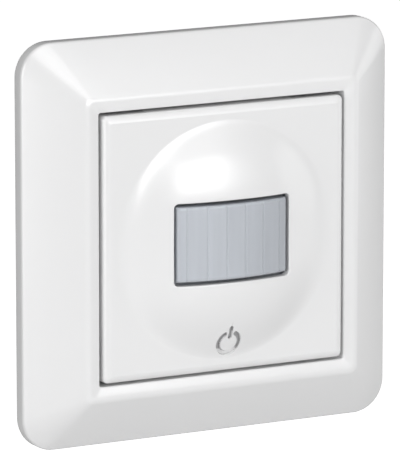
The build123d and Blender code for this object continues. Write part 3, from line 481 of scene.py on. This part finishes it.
unit_x, unit_z = np.array([-1, 1, 1, -1]), np.array([-1, -1, 1, 1])
post_x, post_z = unit_x * post_half, unit_z * post_half + peg_place_z
add_post(post_x, post_z, post_low, dome_height(post_x, post_z) - cover_wall + 2 * join)
peg_x, peg_z = circle(peg_radius)
ear_height, ear_z = circle(ear_radius)
pin_height, pin_z = circle(pin_radius)
web_height = np.where(ear_height >= 0, root_height, hinge_height + ear_height)
for side in (-1, 1):
    add_post(peg_x + side * peg_place_x, peg_z + peg_place_z, inner_height - peg_length, root_height)
    add_bar(web_height, ear_z + hinge_place_z, side * ear_inner, side * ear_outer)
    add_bar(pin_height + hinge_height, pin_z + hinge_place_z, side * (ear_outer - join), side * pin_end)
    side_x = unit_x * catch_half_x + side * catch_x
    add_post(side_x, unit_z * catch_half_z + catch_z, catch_low, catch_high)
cover = new_piece("cover", np.concatenate(cover_points), cover_faces)

# %% Button cover: the faces inside the sign
faces = cover.data.polygons
centres = np.empty(len(faces) * 3)
faces.foreach_get("center", centres)
face_x, face_y, face_z = centres.reshape(-1, 3).T
on_shell = np.arange(len(faces)) < len(shell_quads)
in_sign = (sign_distance(face_x, face_z) < 0) & (face_y < -plate_height) & on_shell
# The faces inside the sign take the second slot, the sign's painted shade.
faces.foreach_set("material_index", in_sign.astype(np.int32))
print(in_sign.sum(), "faces lie in the sign")

# %% [markdown]
# The lens is a thin milky shell bent round an upright line. Its face is made of upright flat strips, each
# of which gathers the heat from its own sector of the room. A bevelled plate with a Bend modifier would
# be round where the real one is flat. The face here is a height over x alone: the strips' folds lie on a
# circle and the height between two folds is a straight line, so np.interp gives it. The edges are rounded
# with one more formula of the distance to the outline, and the shell has a real thickness.

# %% Lens: the height of its face
lens_half_x = 12.55 * mm
lens_half_z = 7.75 * mm
lens_radius = 41.0 * mm
lens_edge = 0.6 * mm
lens_wall = 0.9 * mm
groove_depth = 0.16 * mm
groove_width = 0.16 * mm
strip = 4.23 * mm
inner_folds = np.array([-2.5, -1.5, -0.5, 0.5, 1.5, 2.5]) * strip
folds = np.concatenate([[-lens_half_x], inner_folds, [lens_half_x]])
fold_heights = lens_top - lens_radius + np.sqrt(lens_radius**2 - folds**2)


def edge_fall(x, z, half_x, half_z):
    """How far the face falls near its outline: a quarter circle, worked out from how far a point lies past
    the line where the rounding starts."""
    past_x = np.clip(np.abs(x) - (half_x - lens_edge), 0, lens_edge)
    past_z = np.clip(np.abs(z) - (half_z - lens_edge), 0, lens_edge)
    past = np.minimum(np.hypot(past_x, past_z), lens_edge)
    return lens_edge - np.sqrt(np.maximum(lens_edge**2 - past**2, 0))


def lens_face(x, z, drop, half_x, half_z):
    """Height of the strips at x, less a drop for the inner face and a fine groove along each fold, whose
    section is a bell curve, with rounded edges."""
    strips = np.interp(x, folds, fold_heights)
    past_fold = (x[..., None] - inner_folds) / groove_width
    groove = groove_depth * np.exp(-(past_fold**2)).sum(axis=-1)
    return strips - groove - drop - edge_fall(x, z, half_x, half_z)


def axis_stations(half, count, extra=()):
    """Places along one axis from minus half to half: even ones, closer ones within the rounded edge at both
    ends, and seven close ones about each extra place."""
    even = np.linspace(-half + lens_edge, half - lens_edge, count)
    end = half - lens_edge + lens_edge * np.sin(np.linspace(0, math.pi / 2, 7))
    close = np.array([-2, -1, -0.375, 0, 0.375, 1, 2]) * groove_width
    about = np.ravel([place + close for place in extra])
    return np.unique(np.round(np.concatenate([-end, even, end, about]), 7))


lens_x = axis_stations(lens_half_x, 43, inner_folds)
lens_z = axis_stations(lens_half_z, 9)
print(len(lens_x), "by", len(lens_z), "points on the lens")

# %% Lens: two sheets joined round their rims
flange_thickness = 0.7 * mm
flange_spread = 1.45 * mm


def widened(stations, half, spread):
    """The stations with two more on each side: one at half and one past it by spread."""
    return np.concatenate([[-half - spread, -half], stations, [half, half + spread]])


def sheet(half_x, half_z, drop, low, spread):
    """A lid-like sheet: the face's grid with two more lines on each side that go straight down to low and
    then out by spread, so the whole sheet stays one grid."""
    x = widened(lens_x * half_x / lens_half_x, half_x, spread)
    z = widened(lens_z * half_z / lens_half_z, half_z, spread)
    wide_x, wide_z = np.meshgrid(x, z)
    height = lens_face(wide_x, wide_z, drop, half_x, half_z)
    height[:2] = height[-2:] = low
    height[:, :2] = height[:, -2:] = low
    return np.stack([wide_x, -height, wide_z + window_rise], axis=2)


def shell_faces(rows, columns):
    """Quads of two sheets of the same grid, the second one's turned round, and of the rim between them."""
    index = np.arange(rows * columns).reshape(rows, columns)
    corners = [index[:-1, :-1], index[:-1, 1:], index[1:, 1:], index[1:, :-1]]
    quads = np.stack(corners, axis=2).reshape(-1, 4)
    rim = np.concatenate([index[0, :-1], index[:-1, -1], index[-1, :0:-1], index[:0:-1, 0]])
    after = np.roll(rim, -1)
    second = rows * columns
    sides = np.stack([rim, rim + second, after + second, after], axis=1)
    return np.concatenate([quads, quads[:, ::-1] + second, sides])


inner_x, inner_z = lens_half_x - lens_wall, lens_half_z - lens_wall
outer_sheet = sheet(lens_half_x, lens_half_z, 0, lens_back + flange_thickness, flange_spread)
inner_sheet = sheet(inner_x, inner_z, lens_wall, lens_back, flange_spread + lens_wall)
lens_points = np.concatenate([outer_sheet.reshape(-1, 3), inner_sheet.reshape(-1, 3)])
lens = new_piece("lens", lens_points, shell_faces(*outer_sheet.shape[:2]).tolist())

# %% [markdown]
# Smooth shading would blur the real creases, such as the lens strips' folds, so edges where the surface
# turns by more than a few degrees are marked sharp on each piece. A Bevel modifier would do it with many
# more faces.

# %% Sharp creases
for piece, degrees in ((surround, 40), (cover, 40), (lens, 3.5)):
    piece.data.set_sharp_from_angle(angle=math.radians(degrees))
    print(piece.name, "is sharp from", degrees, "degrees")

# %% [markdown]
# Each new piece rides on its body and stands for its node, which is hidden.
# Parenting by hand would lose the place of the joint, which the model knows.

# %% Tie the new pieces to the model
for piece, body, node_name, slot_name in (
    (surround, "module", "surround_frame", "frame_plastic"),
    (cover, "cover", "button_cover", "cover_plastic"),
    (lens, "module", "fresnel_lens", "lens_plastic"),
):
    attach(piece, body)
    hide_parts(node_name)
    print(piece.name, "rides on", body, "for", node_name)

# %% [markdown]
# Materials. A plain colour with one roughness looks like paint on a screen, so two shader groups carry
# the effects that many finishes share. Moulded skin gives the faint mottling, the fine grain and the
# uneven gloss of moulded plastic. Drawn metal gives the streaks and blotches of rolled or turned metal.
# Both read Object coordinates, so nothing slides when a piece moves.

# %% Tools: single shader nodes


def feed(tree, value, socket):
    """Links one socket to another, or sets it to a plain value."""
    if isinstance(value, bpy.types.NodeSocket):
        tree.links.new(value, socket)
    else:
        socket.default_value = value


def noise(tree, vector, scale, detail=3.0, roughness=0.5):
    """A noise texture at so many bumps per metre."""
    node = tree.nodes.new("ShaderNodeTexNoise")
    feed(tree, vector, node.inputs["Vector"])
    feed(tree, scale, node.inputs["Scale"])
    feed(tree, detail, node.inputs["Detail"])
    feed(tree, roughness, node.inputs["Roughness"])
    return node.outputs["Fac"]


def math_node(tree, operation, *values):
    """One Math node. Each value is a socket or a number."""
    node = tree.nodes.new("ShaderNodeMath")
    node.operation = operation
    for value, socket in zip(values, node.inputs):
        feed(tree, value, socket)
    return node.outputs[0]


def stretched(tree, vector, factors):
    """A vector times one factor for each of its parts."""
    node = tree.nodes.new("ShaderNodeVectorMath")
    node.operation = "MULTIPLY"
    feed(tree, vector, node.inputs[0])
    feed(tree, factors, node.inputs[1])
    return node.outputs[0]


def shaded(tree, color, brightness):
    """A colour times a brightness."""
    node = tree.nodes.new("ShaderNodeVectorMath")
    node.operation = "SCALE"
    feed(tree, color, node.inputs[0])
    feed(tree, brightness, node.inputs["Scale"])
    return node.outputs[0]


def mixed(tree, factor, first, second):
    """A Mix node for colours. It has sockets of the same names for other types too."""
    node = tree.nodes.new("ShaderNodeMix")
    node.data_type = "RGBA"
    first_input, second_input = [socket for socket in node.inputs if socket.type == "RGBA"]
    feed(tree, factor, node.inputs["Factor"])
    feed(tree, first, first_input)
    feed(tree, second, second_input)
    return [socket for socket in node.outputs if socket.type == "RGBA"][0]


def bumped(tree, height, strength, distance):
    """A normal tilted by a height."""
    node = tree.nodes.new("ShaderNodeBump")
    feed(tree, height, node.inputs["Height"])
    feed(tree, strength, node.inputs["Strength"])
    feed(tree, distance, node.inputs["Distance"])
    return node.outputs["Normal"]


def object_places(tree):
    """The place on the piece, in metres."""
    return tree.nodes.new("ShaderNodeTexCoord").outputs["Object"]


# %% Tools: shader groups


def new_group(name, inputs):
    """An empty shader group. Each input is (name, type, value), and the outputs are those of a skin."""
    group = bpy.data.node_groups.new(name, "ShaderNodeTree")
    for socket_name, kind, value in inputs:
        socket = group.interface.new_socket(socket_name, in_out="INPUT", socket_type=kind)
        socket.default_value = value
    for socket_name, kind in (("Color", "Color"), ("Roughness", "Float"), ("Normal", "Vector")):
        group.interface.new_socket(socket_name, in_out="OUTPUT", socket_type="NodeSocket" + kind)
    return group, group.nodes.new("NodeGroupInput").outputs


def put_out(group, color, roughness, normal):
    """Ties a group's results to its outputs and tells what it made."""
    out = group.nodes.new("NodeGroupOutput").inputs
    feed(group, color, out["Color"])
    feed(group, roughness, out["Roughness"])
    feed(group, normal, out["Normal"])
    print("shader group", group.name, "has", len(group.nodes), "nodes")
    return group


# %% Shader group: moulded skin


def moulded_skin_group():
    """Mottling of the colour, uneven gloss, and a bump of fine grain."""
    group, entry = new_group(
        "moulded_skin",
        [
            ("Color", "NodeSocketColor", (0.8, 0.8, 0.8, 1)),
            ("Mottle", "NodeSocketFloat", 0.02),
            ("Roughness", "NodeSocketFloat", 0.3),
            ("Uneven Gloss", "NodeSocketFloat", 0.05),
            ("Grain Scale", "NodeSocketFloat", 6000.0),
            ("Grain Height", "NodeSocketFloat", 0.02),
        ],
    )
    places = object_places(group)
    swing = math_node(group, "SUBTRACT", noise(group, places, 60, 4), 0.5)
    brightness = math_node(group, "ADD", 1.0, math_node(group, "MULTIPLY", swing, entry["Mottle"]))
    color = shaded(group, entry["Color"], brightness)
    gloss = math_node(group, "MULTIPLY_ADD", swing, entry["Uneven Gloss"], entry["Roughness"])
    fine = noise(group, places, entry["Grain Scale"], 2)
    return put_out(group, color, gloss, bumped(group, fine, entry["Grain Height"], 0.05 * mm))


moulded_skin = moulded_skin_group()

# %% Shader group: drawn metal


def drawn_metal_group():
    """Long streaks along one direction for the grain, with blotches of plating over them."""
    group, entry = new_group(
        "drawn_metal",
        [
            ("Color", "NodeSocketColor", (0.6, 0.6, 0.6, 1)),
            ("Blotch Color", "NodeSocketColor", (0.5, 0.5, 0.5, 1)),
            ("Roughness", "NodeSocketFloat", 0.35),
            ("Streaks", "NodeSocketVector", (300, 300, 6000)),
            ("Depth", "NodeSocketFloat", 0.1),
        ],
    )
    places = object_places(group)
    streak = noise(group, stretched(group, places, entry["Streaks"]), 1.0, 3)
    blotch = noise(group, places, 420, 5, 0.6)
    clamp = group.nodes.new("ShaderNodeClamp")
    over = math_node(group, "SUBTRACT", blotch, 0.42)
    feed(group, math_node(group, "MULTIPLY", over, 3.0), clamp.inputs["Value"])
    plated = mixed(group, clamp.outputs[0], entry["Color"], entry["Blotch Color"])
    color = shaded(group, plated, math_node(group, "MULTIPLY_ADD", streak, 0.24, 0.88))
    swing = math_node(group, "MULTIPLY_ADD", streak, 0.22, -0.11)
    gloss = math_node(group, "ADD", swing, entry["Roughness"])
    return put_out(group, color, gloss, bumped(group, streak, entry["Depth"], 0.03 * mm))


drawn_metal = drawn_metal_group()

# %% [markdown]
# Most pieces are a plastic or a metal with its own colour and gloss. Each finish is a material of its own
# that places one of the groups with its own values, so a change of the group reaches all of them.

# %% Tools: finishes made from the two groups


def new_finish(name):
    """A new material with its node tree and its surface shader."""
    material = bpy.data.materials.new(name)
    material.use_nodes = True
    return material, material.node_tree, material.node_tree.nodes["Principled BSDF"]


def place_group(tree, group, shader, values):
    """Places a shared group, sets its inputs by name and ties its outputs to the surface shader."""
    node = tree.nodes.new("ShaderNodeGroup")
    node.node_tree = group
    for name, value in values.items():
        node.inputs[name].default_value = value
    tree.links.new(node.outputs["Color"], shader.inputs["Base Color"])
    tree.links.new(node.outputs["Roughness"], shader.inputs["Roughness"])
    tree.links.new(node.outputs["Normal"], shader.inputs["Normal"])
    return node


def moulded(name, color, roughness, mottle=0.03, uneven=0.08, grain=6000.0, height=0.05, coat=0.0):
    """Moulded plastic: a colour, its gloss and its grain. coat is a thin clear skin for the glossiest."""
    material, tree, shader = new_finish(name)
    values = {
        "Color": color + (1.0,),
        "Mottle": mottle,
        "Roughness": roughness,
        "Uneven Gloss": uneven,
        "Grain Scale": grain,
        "Grain Height": height,
    }
    place_group(tree, moulded_skin, shader, values)
    shader.inputs["IOR"].default_value = 1.5
    shader.inputs["Coat Weight"].default_value = coat
    shader.inputs["Coat Roughness"].default_value = 0.26
    return material


def metal(name, color, blotch, roughness, streaks):
    """Plated or drawn metal. streaks tells how many streaks a metre has along x, y and z."""
    material, tree, shader = new_finish(name)
    values = {
        "Color": color + (1.0,),
        "Blotch Color": blotch + (1.0,),
        "Roughness": roughness,
        "Streaks": streaks,
        "Depth": 0.15,
    }
    place_group(tree, drawn_metal, shader, values)
    shader.inputs["Metallic"].default_value = 1.0
    return material


# %% Plastics
gloss_skin = {"mottle": 0.012, "uneven": 0.02, "grain": 2500.0, "height": 0.015, "coat": 1.0}
white_gloss = moulded("white_gloss", (0.80, 0.80, 0.803), 0.23, **gloss_skin)
# The sign's grey is painted shade: the cover is white all through, and the grey stands for the shade in the
# sign's narrow recess.
sign_painted_shade = moulded("sign_painted_shade", (0.42, 0.42, 0.425), 0.4)
dark_grey = moulded("dark_grey", (0.11, 0.11, 0.115), 0.5)
light_grey = moulded("light_grey", (0.66, 0.66, 0.66), 0.45)
black_matt = moulded("black_matt", (0.025, 0.025, 0.027), 0.5)
off_white = moulded("off_white", (0.74, 0.74, 0.72), 0.4)
terminal_grey = moulded("terminal_grey", (0.42, 0.43, 0.44), 0.4)
release_grey = moulded("release_grey", (0.09, 0.095, 0.10), 0.35)
release_blue = moulded("release_blue", (0.02, 0.06, 0.30), 0.35)
rotor_ivory = moulded("rotor_ivory", (0.78, 0.74, 0.62), 0.35)
trimmer_blue = moulded("trimmer_blue", (0.02, 0.08, 0.32), 0.4)
plunger_grey = moulded("plunger_grey", (0.55, 0.53, 0.48), 0.4)
film_box = moulded("film_box", (0.62, 0.40, 0.03), 0.3)
dark_sleeve = moulded("dark_sleeve", (0.012, 0.014, 0.035), 0.2, coat=0.3)
blue_dip = moulded("blue_dip", (0.01, 0.05, 0.32), 0.22, coat=0.5)
brown_cap = moulded("brown_cap", (0.16, 0.04, 0.02), 0.25)
chip_black = moulded("chip_black", (0.012, 0.012, 0.013), 0.55)
lamp_red = moulded("lamp_red", (0.55, 0.09, 0.05), 0.2)
print(len(bpy.data.materials), "materials so far")

# %% Metals
zinc = metal("zinc", (0.62, 0.63, 0.65), (0.50, 0.52, 0.55), 0.38, (400, 400, 5000))
screw_zinc = metal("screw_zinc", (0.66, 0.67, 0.69), (0.56, 0.57, 0.60), 0.28, (3000, 900, 3000))
spring_wire = metal("spring_wire", (0.50, 0.51, 0.53), (0.42, 0.43, 0.45), 0.25, (2500, 2500, 2500))
gold_pin = metal("gold_pin", (0.86, 0.62, 0.24), (0.78, 0.54, 0.20), 0.22, (900, 3500, 900))
copper_strip = metal("copper_strip", (0.78, 0.45, 0.28), (0.62, 0.34, 0.20), 0.3, (3500, 700, 900))
nickel_can = metal("nickel_can", (0.66, 0.64, 0.58), (0.60, 0.58, 0.52), 0.22, (700, 4200, 700))
print(len(bpy.data.materials), "materials so far")

# %% [markdown]
# The lens is milky polyethylene: light goes in, scatters and comes out near by. A clear glass shader
# would show the inside sharply, and a plain white would look like paper. Subsurface scattering gives the
# milk, and a blue-grey tint is painted shade of the dark hollow that shines through. Each strip has a
# painted shade of its own, darker towards the right, where the strips face away from the light.

# %% Finish of the lens
streaks_per_metre = (420.0, 0.0, 35.0)
streak_share = 0.16
# Painted shade of the strips: darker towards the right, where they face away from the light.
strip_shade_bend, strip_shade_slope, strip_shade_middle = -0.007, -0.030, 0.91


def milky_lens():
    """Milky plastic with soft upright streaks and a painted shade for each strip. The brightness of strip n,
    counted from the middle, is middle + slope n + bend n^2, and n is x over the strip's width, rounded."""
    material, tree, shader = new_finish("milky_lens")
    values = {
        "Mottle": 0.03,
        "Roughness": 0.34,
        "Uneven Gloss": 0.05,
        "Grain Scale": 3000.0,
        "Grain Height": 0.03,
    }
    skin = place_group(tree, moulded_skin, shader, values)
    places = object_places(tree)
    streaks = noise(tree, stretched(tree, places, streaks_per_metre), 1.0, 2.0)
    parts = tree.nodes.new("ShaderNodeSeparateXYZ")
    feed(tree, places, parts.inputs[0])
    number = math_node(tree, "ROUND", math_node(tree, "MULTIPLY", parts.outputs["X"], 1 / strip))
    bent = math_node(tree, "MULTIPLY_ADD", number, strip_shade_bend, strip_shade_slope)
    tone = math_node(tree, "MULTIPLY_ADD", bent, number, strip_shade_middle)
    tone = math_node(tree, "MULTIPLY_ADD", streaks, streak_share, tone)
    # The blue-grey tint is painted shade of the dark hollow behind the lens.
    feed(tree, shaded(tree, (0.49, 0.515, 0.555), tone), skin.inputs["Color"])
    shader.inputs["IOR"].default_value = 1.51
    shader.inputs["Subsurface Weight"].default_value = 0.3
    shader.inputs["Subsurface Radius"].default_value = (1.0, 1.0, 1.0)
    shader.inputs["Subsurface Scale"].default_value = 1.2 * mm
    return material


lens_milk = milky_lens()
print("finish", lens_milk.name)

# %% [markdown]
# The circuit boards are laminate: a green coating over copper. A picture of tracks would need an image,
# so a brick pattern, turned to lie in the board's plane, gives fields of copper and the darker joints
# between them. The light sensor is clear epoxy, and the detector's window is a polished plate with a
# violet cast.

# %% Finishes of the boards, the light sensor and the detector's window


def laminate():
    """Green coated board with a brick pattern under the coating."""
    material, tree, shader = new_finish("laminate")
    turned = tree.nodes.new("ShaderNodeMapping")
    turned.inputs["Rotation"].default_value = (math.pi / 2, 0, 0)
    feed(tree, object_places(tree), turned.inputs["Vector"])
    fields = tree.nodes.new("ShaderNodeTexBrick")
    feed(tree, turned.outputs[0], fields.inputs["Vector"])
    fields.inputs["Scale"].default_value = 180.0
    fields.inputs["Mortar Size"].default_value = 0.03
    fields.inputs["Color1"].default_value = (0.010, 0.085, 0.030, 1)
    fields.inputs["Color2"].default_value = (0.012, 0.110, 0.036, 1)
    fields.inputs["Mortar"].default_value = (0.006, 0.045, 0.018, 1)
    values = {"Roughness": 0.25, "Mottle": 0.08, "Grain Height": 0.03}
    skin = place_group(tree, moulded_skin, shader, values)
    feed(tree, fields.outputs["Color"], skin.inputs["Color"])
    return material


def clear_resin():
    """Clear epoxy of a light sensor."""
    material, tree, shader = new_finish("clear_resin")
    values = {"Color": (0.85, 0.87, 0.88, 1), "Roughness": 0.08, "Uneven Gloss": 0.03}
    place_group(tree, moulded_skin, shader, values)
    shader.inputs["Transmission Weight"].default_value = 0.9
    shader.inputs["IOR"].default_value = 1.53
    return material


def silicon_filter():
    """The detector's window: a dark polished plate with a violet cast."""
    material, tree, shader = new_finish("silicon_filter")
    values = {"Color": (0.05, 0.035, 0.07, 1), "Roughness": 0.06, "Mottle": 0.2}
    place_group(tree, moulded_skin, shader, values)
    shader.inputs["Metallic"].default_value = 0.8
    return material


board_green = laminate()
resin = clear_resin()
filter_plate = silicon_filter()
print(len(bpy.data.materials), "materials in all")

# %% [markdown]
# Every piece of the model gets the finish of the real one: white gloss for what is seen, plain greys and
# off-white for the mouldings inside, plated metal for the ring, the claws and the screws. A table says it
# shortest, and the last line tells whether a piece was forgotten.

# %% Every piece gets its finish
finishes = {
    white_gloss: ["surround_frame", "button_cover"],
    lens_milk: ["fresnel_lens"],
    light_grey: ["sensor_carrier"],
    dark_grey: ["lens_hood"],
    black_matt: ["pin_strip", "plug_socket", "relay", "push_switch", "choke"],
    board_green: ["sensor_board", "power_board"],
    screw_zinc: ["board_screws", "ring_screws", "claw_screw_top", "claw_screw_bottom"],
    nickel_can: ["pir_detector"],
    filter_plate: ["pir_filter"],
    resin: ["light_sensor"],
    lamp_red: ["status_light"],
    chip_black: ["control_chip"],
    plunger_grey: ["push_plunger"],
    trimmer_blue: ["trimmer_bodies"],
    rotor_ivory: ["time_trimmer", "light_level_trimmer", "range_trimmer"],
    spring_wire: ["return_springs", "clamp_springs"],
    gold_pin: ["plug_pins"],
    zinc: ["mounting_ring", "claw_top", "claw_bottom", "claw_nut_top", "claw_nut_bottom"],
    off_white: ["insert_housing", "insert_lid"],
    film_box: ["film_capacitor"],
    dark_sleeve: ["can_capacitor"],
    blue_dip: ["varistor"],
    brown_cap: ["fuse"],
    terminal_grey: ["terminal_blocks"],
    copper_strip: ["terminal_contacts"],
    release_grey: ["release_live", "release_lamp", "release_extension"],
    release_blue: ["release_neutral"],
}
for material, names in finishes.items():
    for node_name in names:
        data = nodes[node_name].data
        data.materials.clear()
        data.materials.append(material)
# The cover's second slot is the sign's painted shade.
new_finishes = [(surround, white_gloss), (cover, white_gloss), (cover, sign_painted_shade), (lens, lens_milk)]
for piece, material in new_finishes:
    piece.data.materials.append(material)
named = {name for names in finishes.values() for name in names}
print("pieces without a finish:", sorted(set(nodes) - named))

# %% [markdown]
# The camera stands where the photograph was taken from: to the left of the switch, a little above it and
# far away, with a long lens. It could be placed by eye, but the corners of the frame and the plate in the
# photograph gave its place.

# %% Camera
azimuth = math.radians(-27.756)
elevation = math.radians(11.523)
camera_distance = 1079.58 * mm
focal_pixels = 5254.0
photo_width, photo_height = 400, 465
look_at = np.array([0.122, 0.0, -0.668]) * mm
level = math.cos(elevation)
backwards = np.array([math.sin(azimuth) * level, -math.cos(azimuth) * level, math.sin(elevation)])
camera_data = bpy.data.cameras.new("camera")
camera = bpy.data.objects.new("camera", camera_data)
bpy.context.scene.collection.objects.link(camera)
camera.location = look_at + backwards * camera_distance
camera.rotation_euler = (math.pi / 2 - elevation, 0, azimuth)
camera_data.sensor_fit = "AUTO"
camera_data.sensor_width = 36.0
camera_data.lens = camera_data.sensor_width * focal_pixels / max(photo_width, photo_height)
camera_data.clip_start = 0.05
camera_data.clip_end = 20
bpy.context.scene.camera = camera
print("camera at", [round(part, 4) for part in camera.location], "lens", round(camera_data.lens, 1))

# %% [markdown]
# Studio. The switch hangs over a pale floor, lit by soft boxes in a white room. A world as bright as the
# background would wash out every edge, so the room is plain white for the camera and a dim grey light for
# the pieces. The floor glows for the camera alone, for the same reason.

# %% Floor
floor_reach = 3.0
floor_level = -0.25
floor_glow = 0.9
floor_mesh = bpy.data.meshes.new("floor")
floor_x = np.array([-1, 1, 1, -1]) * floor_reach
floor_y = np.array([-1, -1, 1, 1]) * floor_reach
floor_points = np.stack([floor_x, floor_y, np.full(4, floor_level)], axis=1)
floor_mesh.from_pydata(floor_points.tolist(), [], [(0, 1, 2, 3)])
floor = bpy.data.objects.new("floor", floor_mesh)
bpy.context.scene.collection.objects.link(floor)
floor_finish, floor_tree, floor_shader = new_finish("floor_paper")
place_group(floor_tree, moulded_skin, floor_shader, {"Color": (0.8, 0.8, 0.8, 1), "Roughness": 0.8})
seen = floor_tree.nodes.new("ShaderNodeLightPath").outputs["Is Camera Ray"]
glow = math_node(floor_tree, "MULTIPLY", seen, floor_glow)
feed(floor_tree, glow, floor_shader.inputs["Emission Strength"])
floor_shader.inputs["Emission Color"].default_value = (1, 1, 1, 1)
floor_mesh.materials.append(floor_finish)
print("floor at", floor_level)

# %% Room
room_strength = 0.11
world = bpy.data.worlds.new("studio")
bpy.context.scene.world = world
world.use_nodes = True
background = world.node_tree.nodes["Background"]
background.inputs["Color"].default_value = (1, 1, 1, 1)
seen = world.node_tree.nodes.new("ShaderNodeLightPath").outputs["Is Camera Ray"]
strength = math_node(world.node_tree, "MULTIPLY_ADD", seen, 1 - room_strength, room_strength)
feed(world.node_tree, strength, background.inputs["Strength"])
bpy.context.scene.view_settings.view_transform = "Standard"
print("room gives", room_strength, "of white")

# %% Soft boxes
light_distance = 1.2


def soft_box(name, direction, width, height, power):
    """A rectangular area light that looks at the switch from a direction."""
    light = bpy.data.lights.new(name, "AREA")
    light.shape = "RECTANGLE"
    light.size = width
    light.size_y = height
    light.energy = power
    lamp = bpy.data.objects.new(name, light)
    bpy.context.scene.collection.objects.link(lamp)
    towards = np.array(direction) / np.linalg.norm(direction)
    lamp.location = towards * light_distance
    yaw = math.atan2(towards[0], -towards[1])
    pitch = math.asin(towards[2])
    lamp.rotation_euler = (math.pi / 2 - pitch, 0, yaw)
    print("soft box", name, "gives", power, "W")


soft_box("key", (0.05, -0.66, 0.75), 1.0, 0.5, 3.5)
soft_box("glint", (0.16, -0.94, 0.24), 0.70, 0.56, 5.95)
soft_box("left", (-0.92, -0.38, 0.10), 0.8, 0.9, 6.6)
soft_box("right", (0.97, -0.22, 0.0), 0.9, 0.9, 2.6)
soft_box("top", (0.0, -0.12, 0.99), 0.9, 0.9, 3.4)
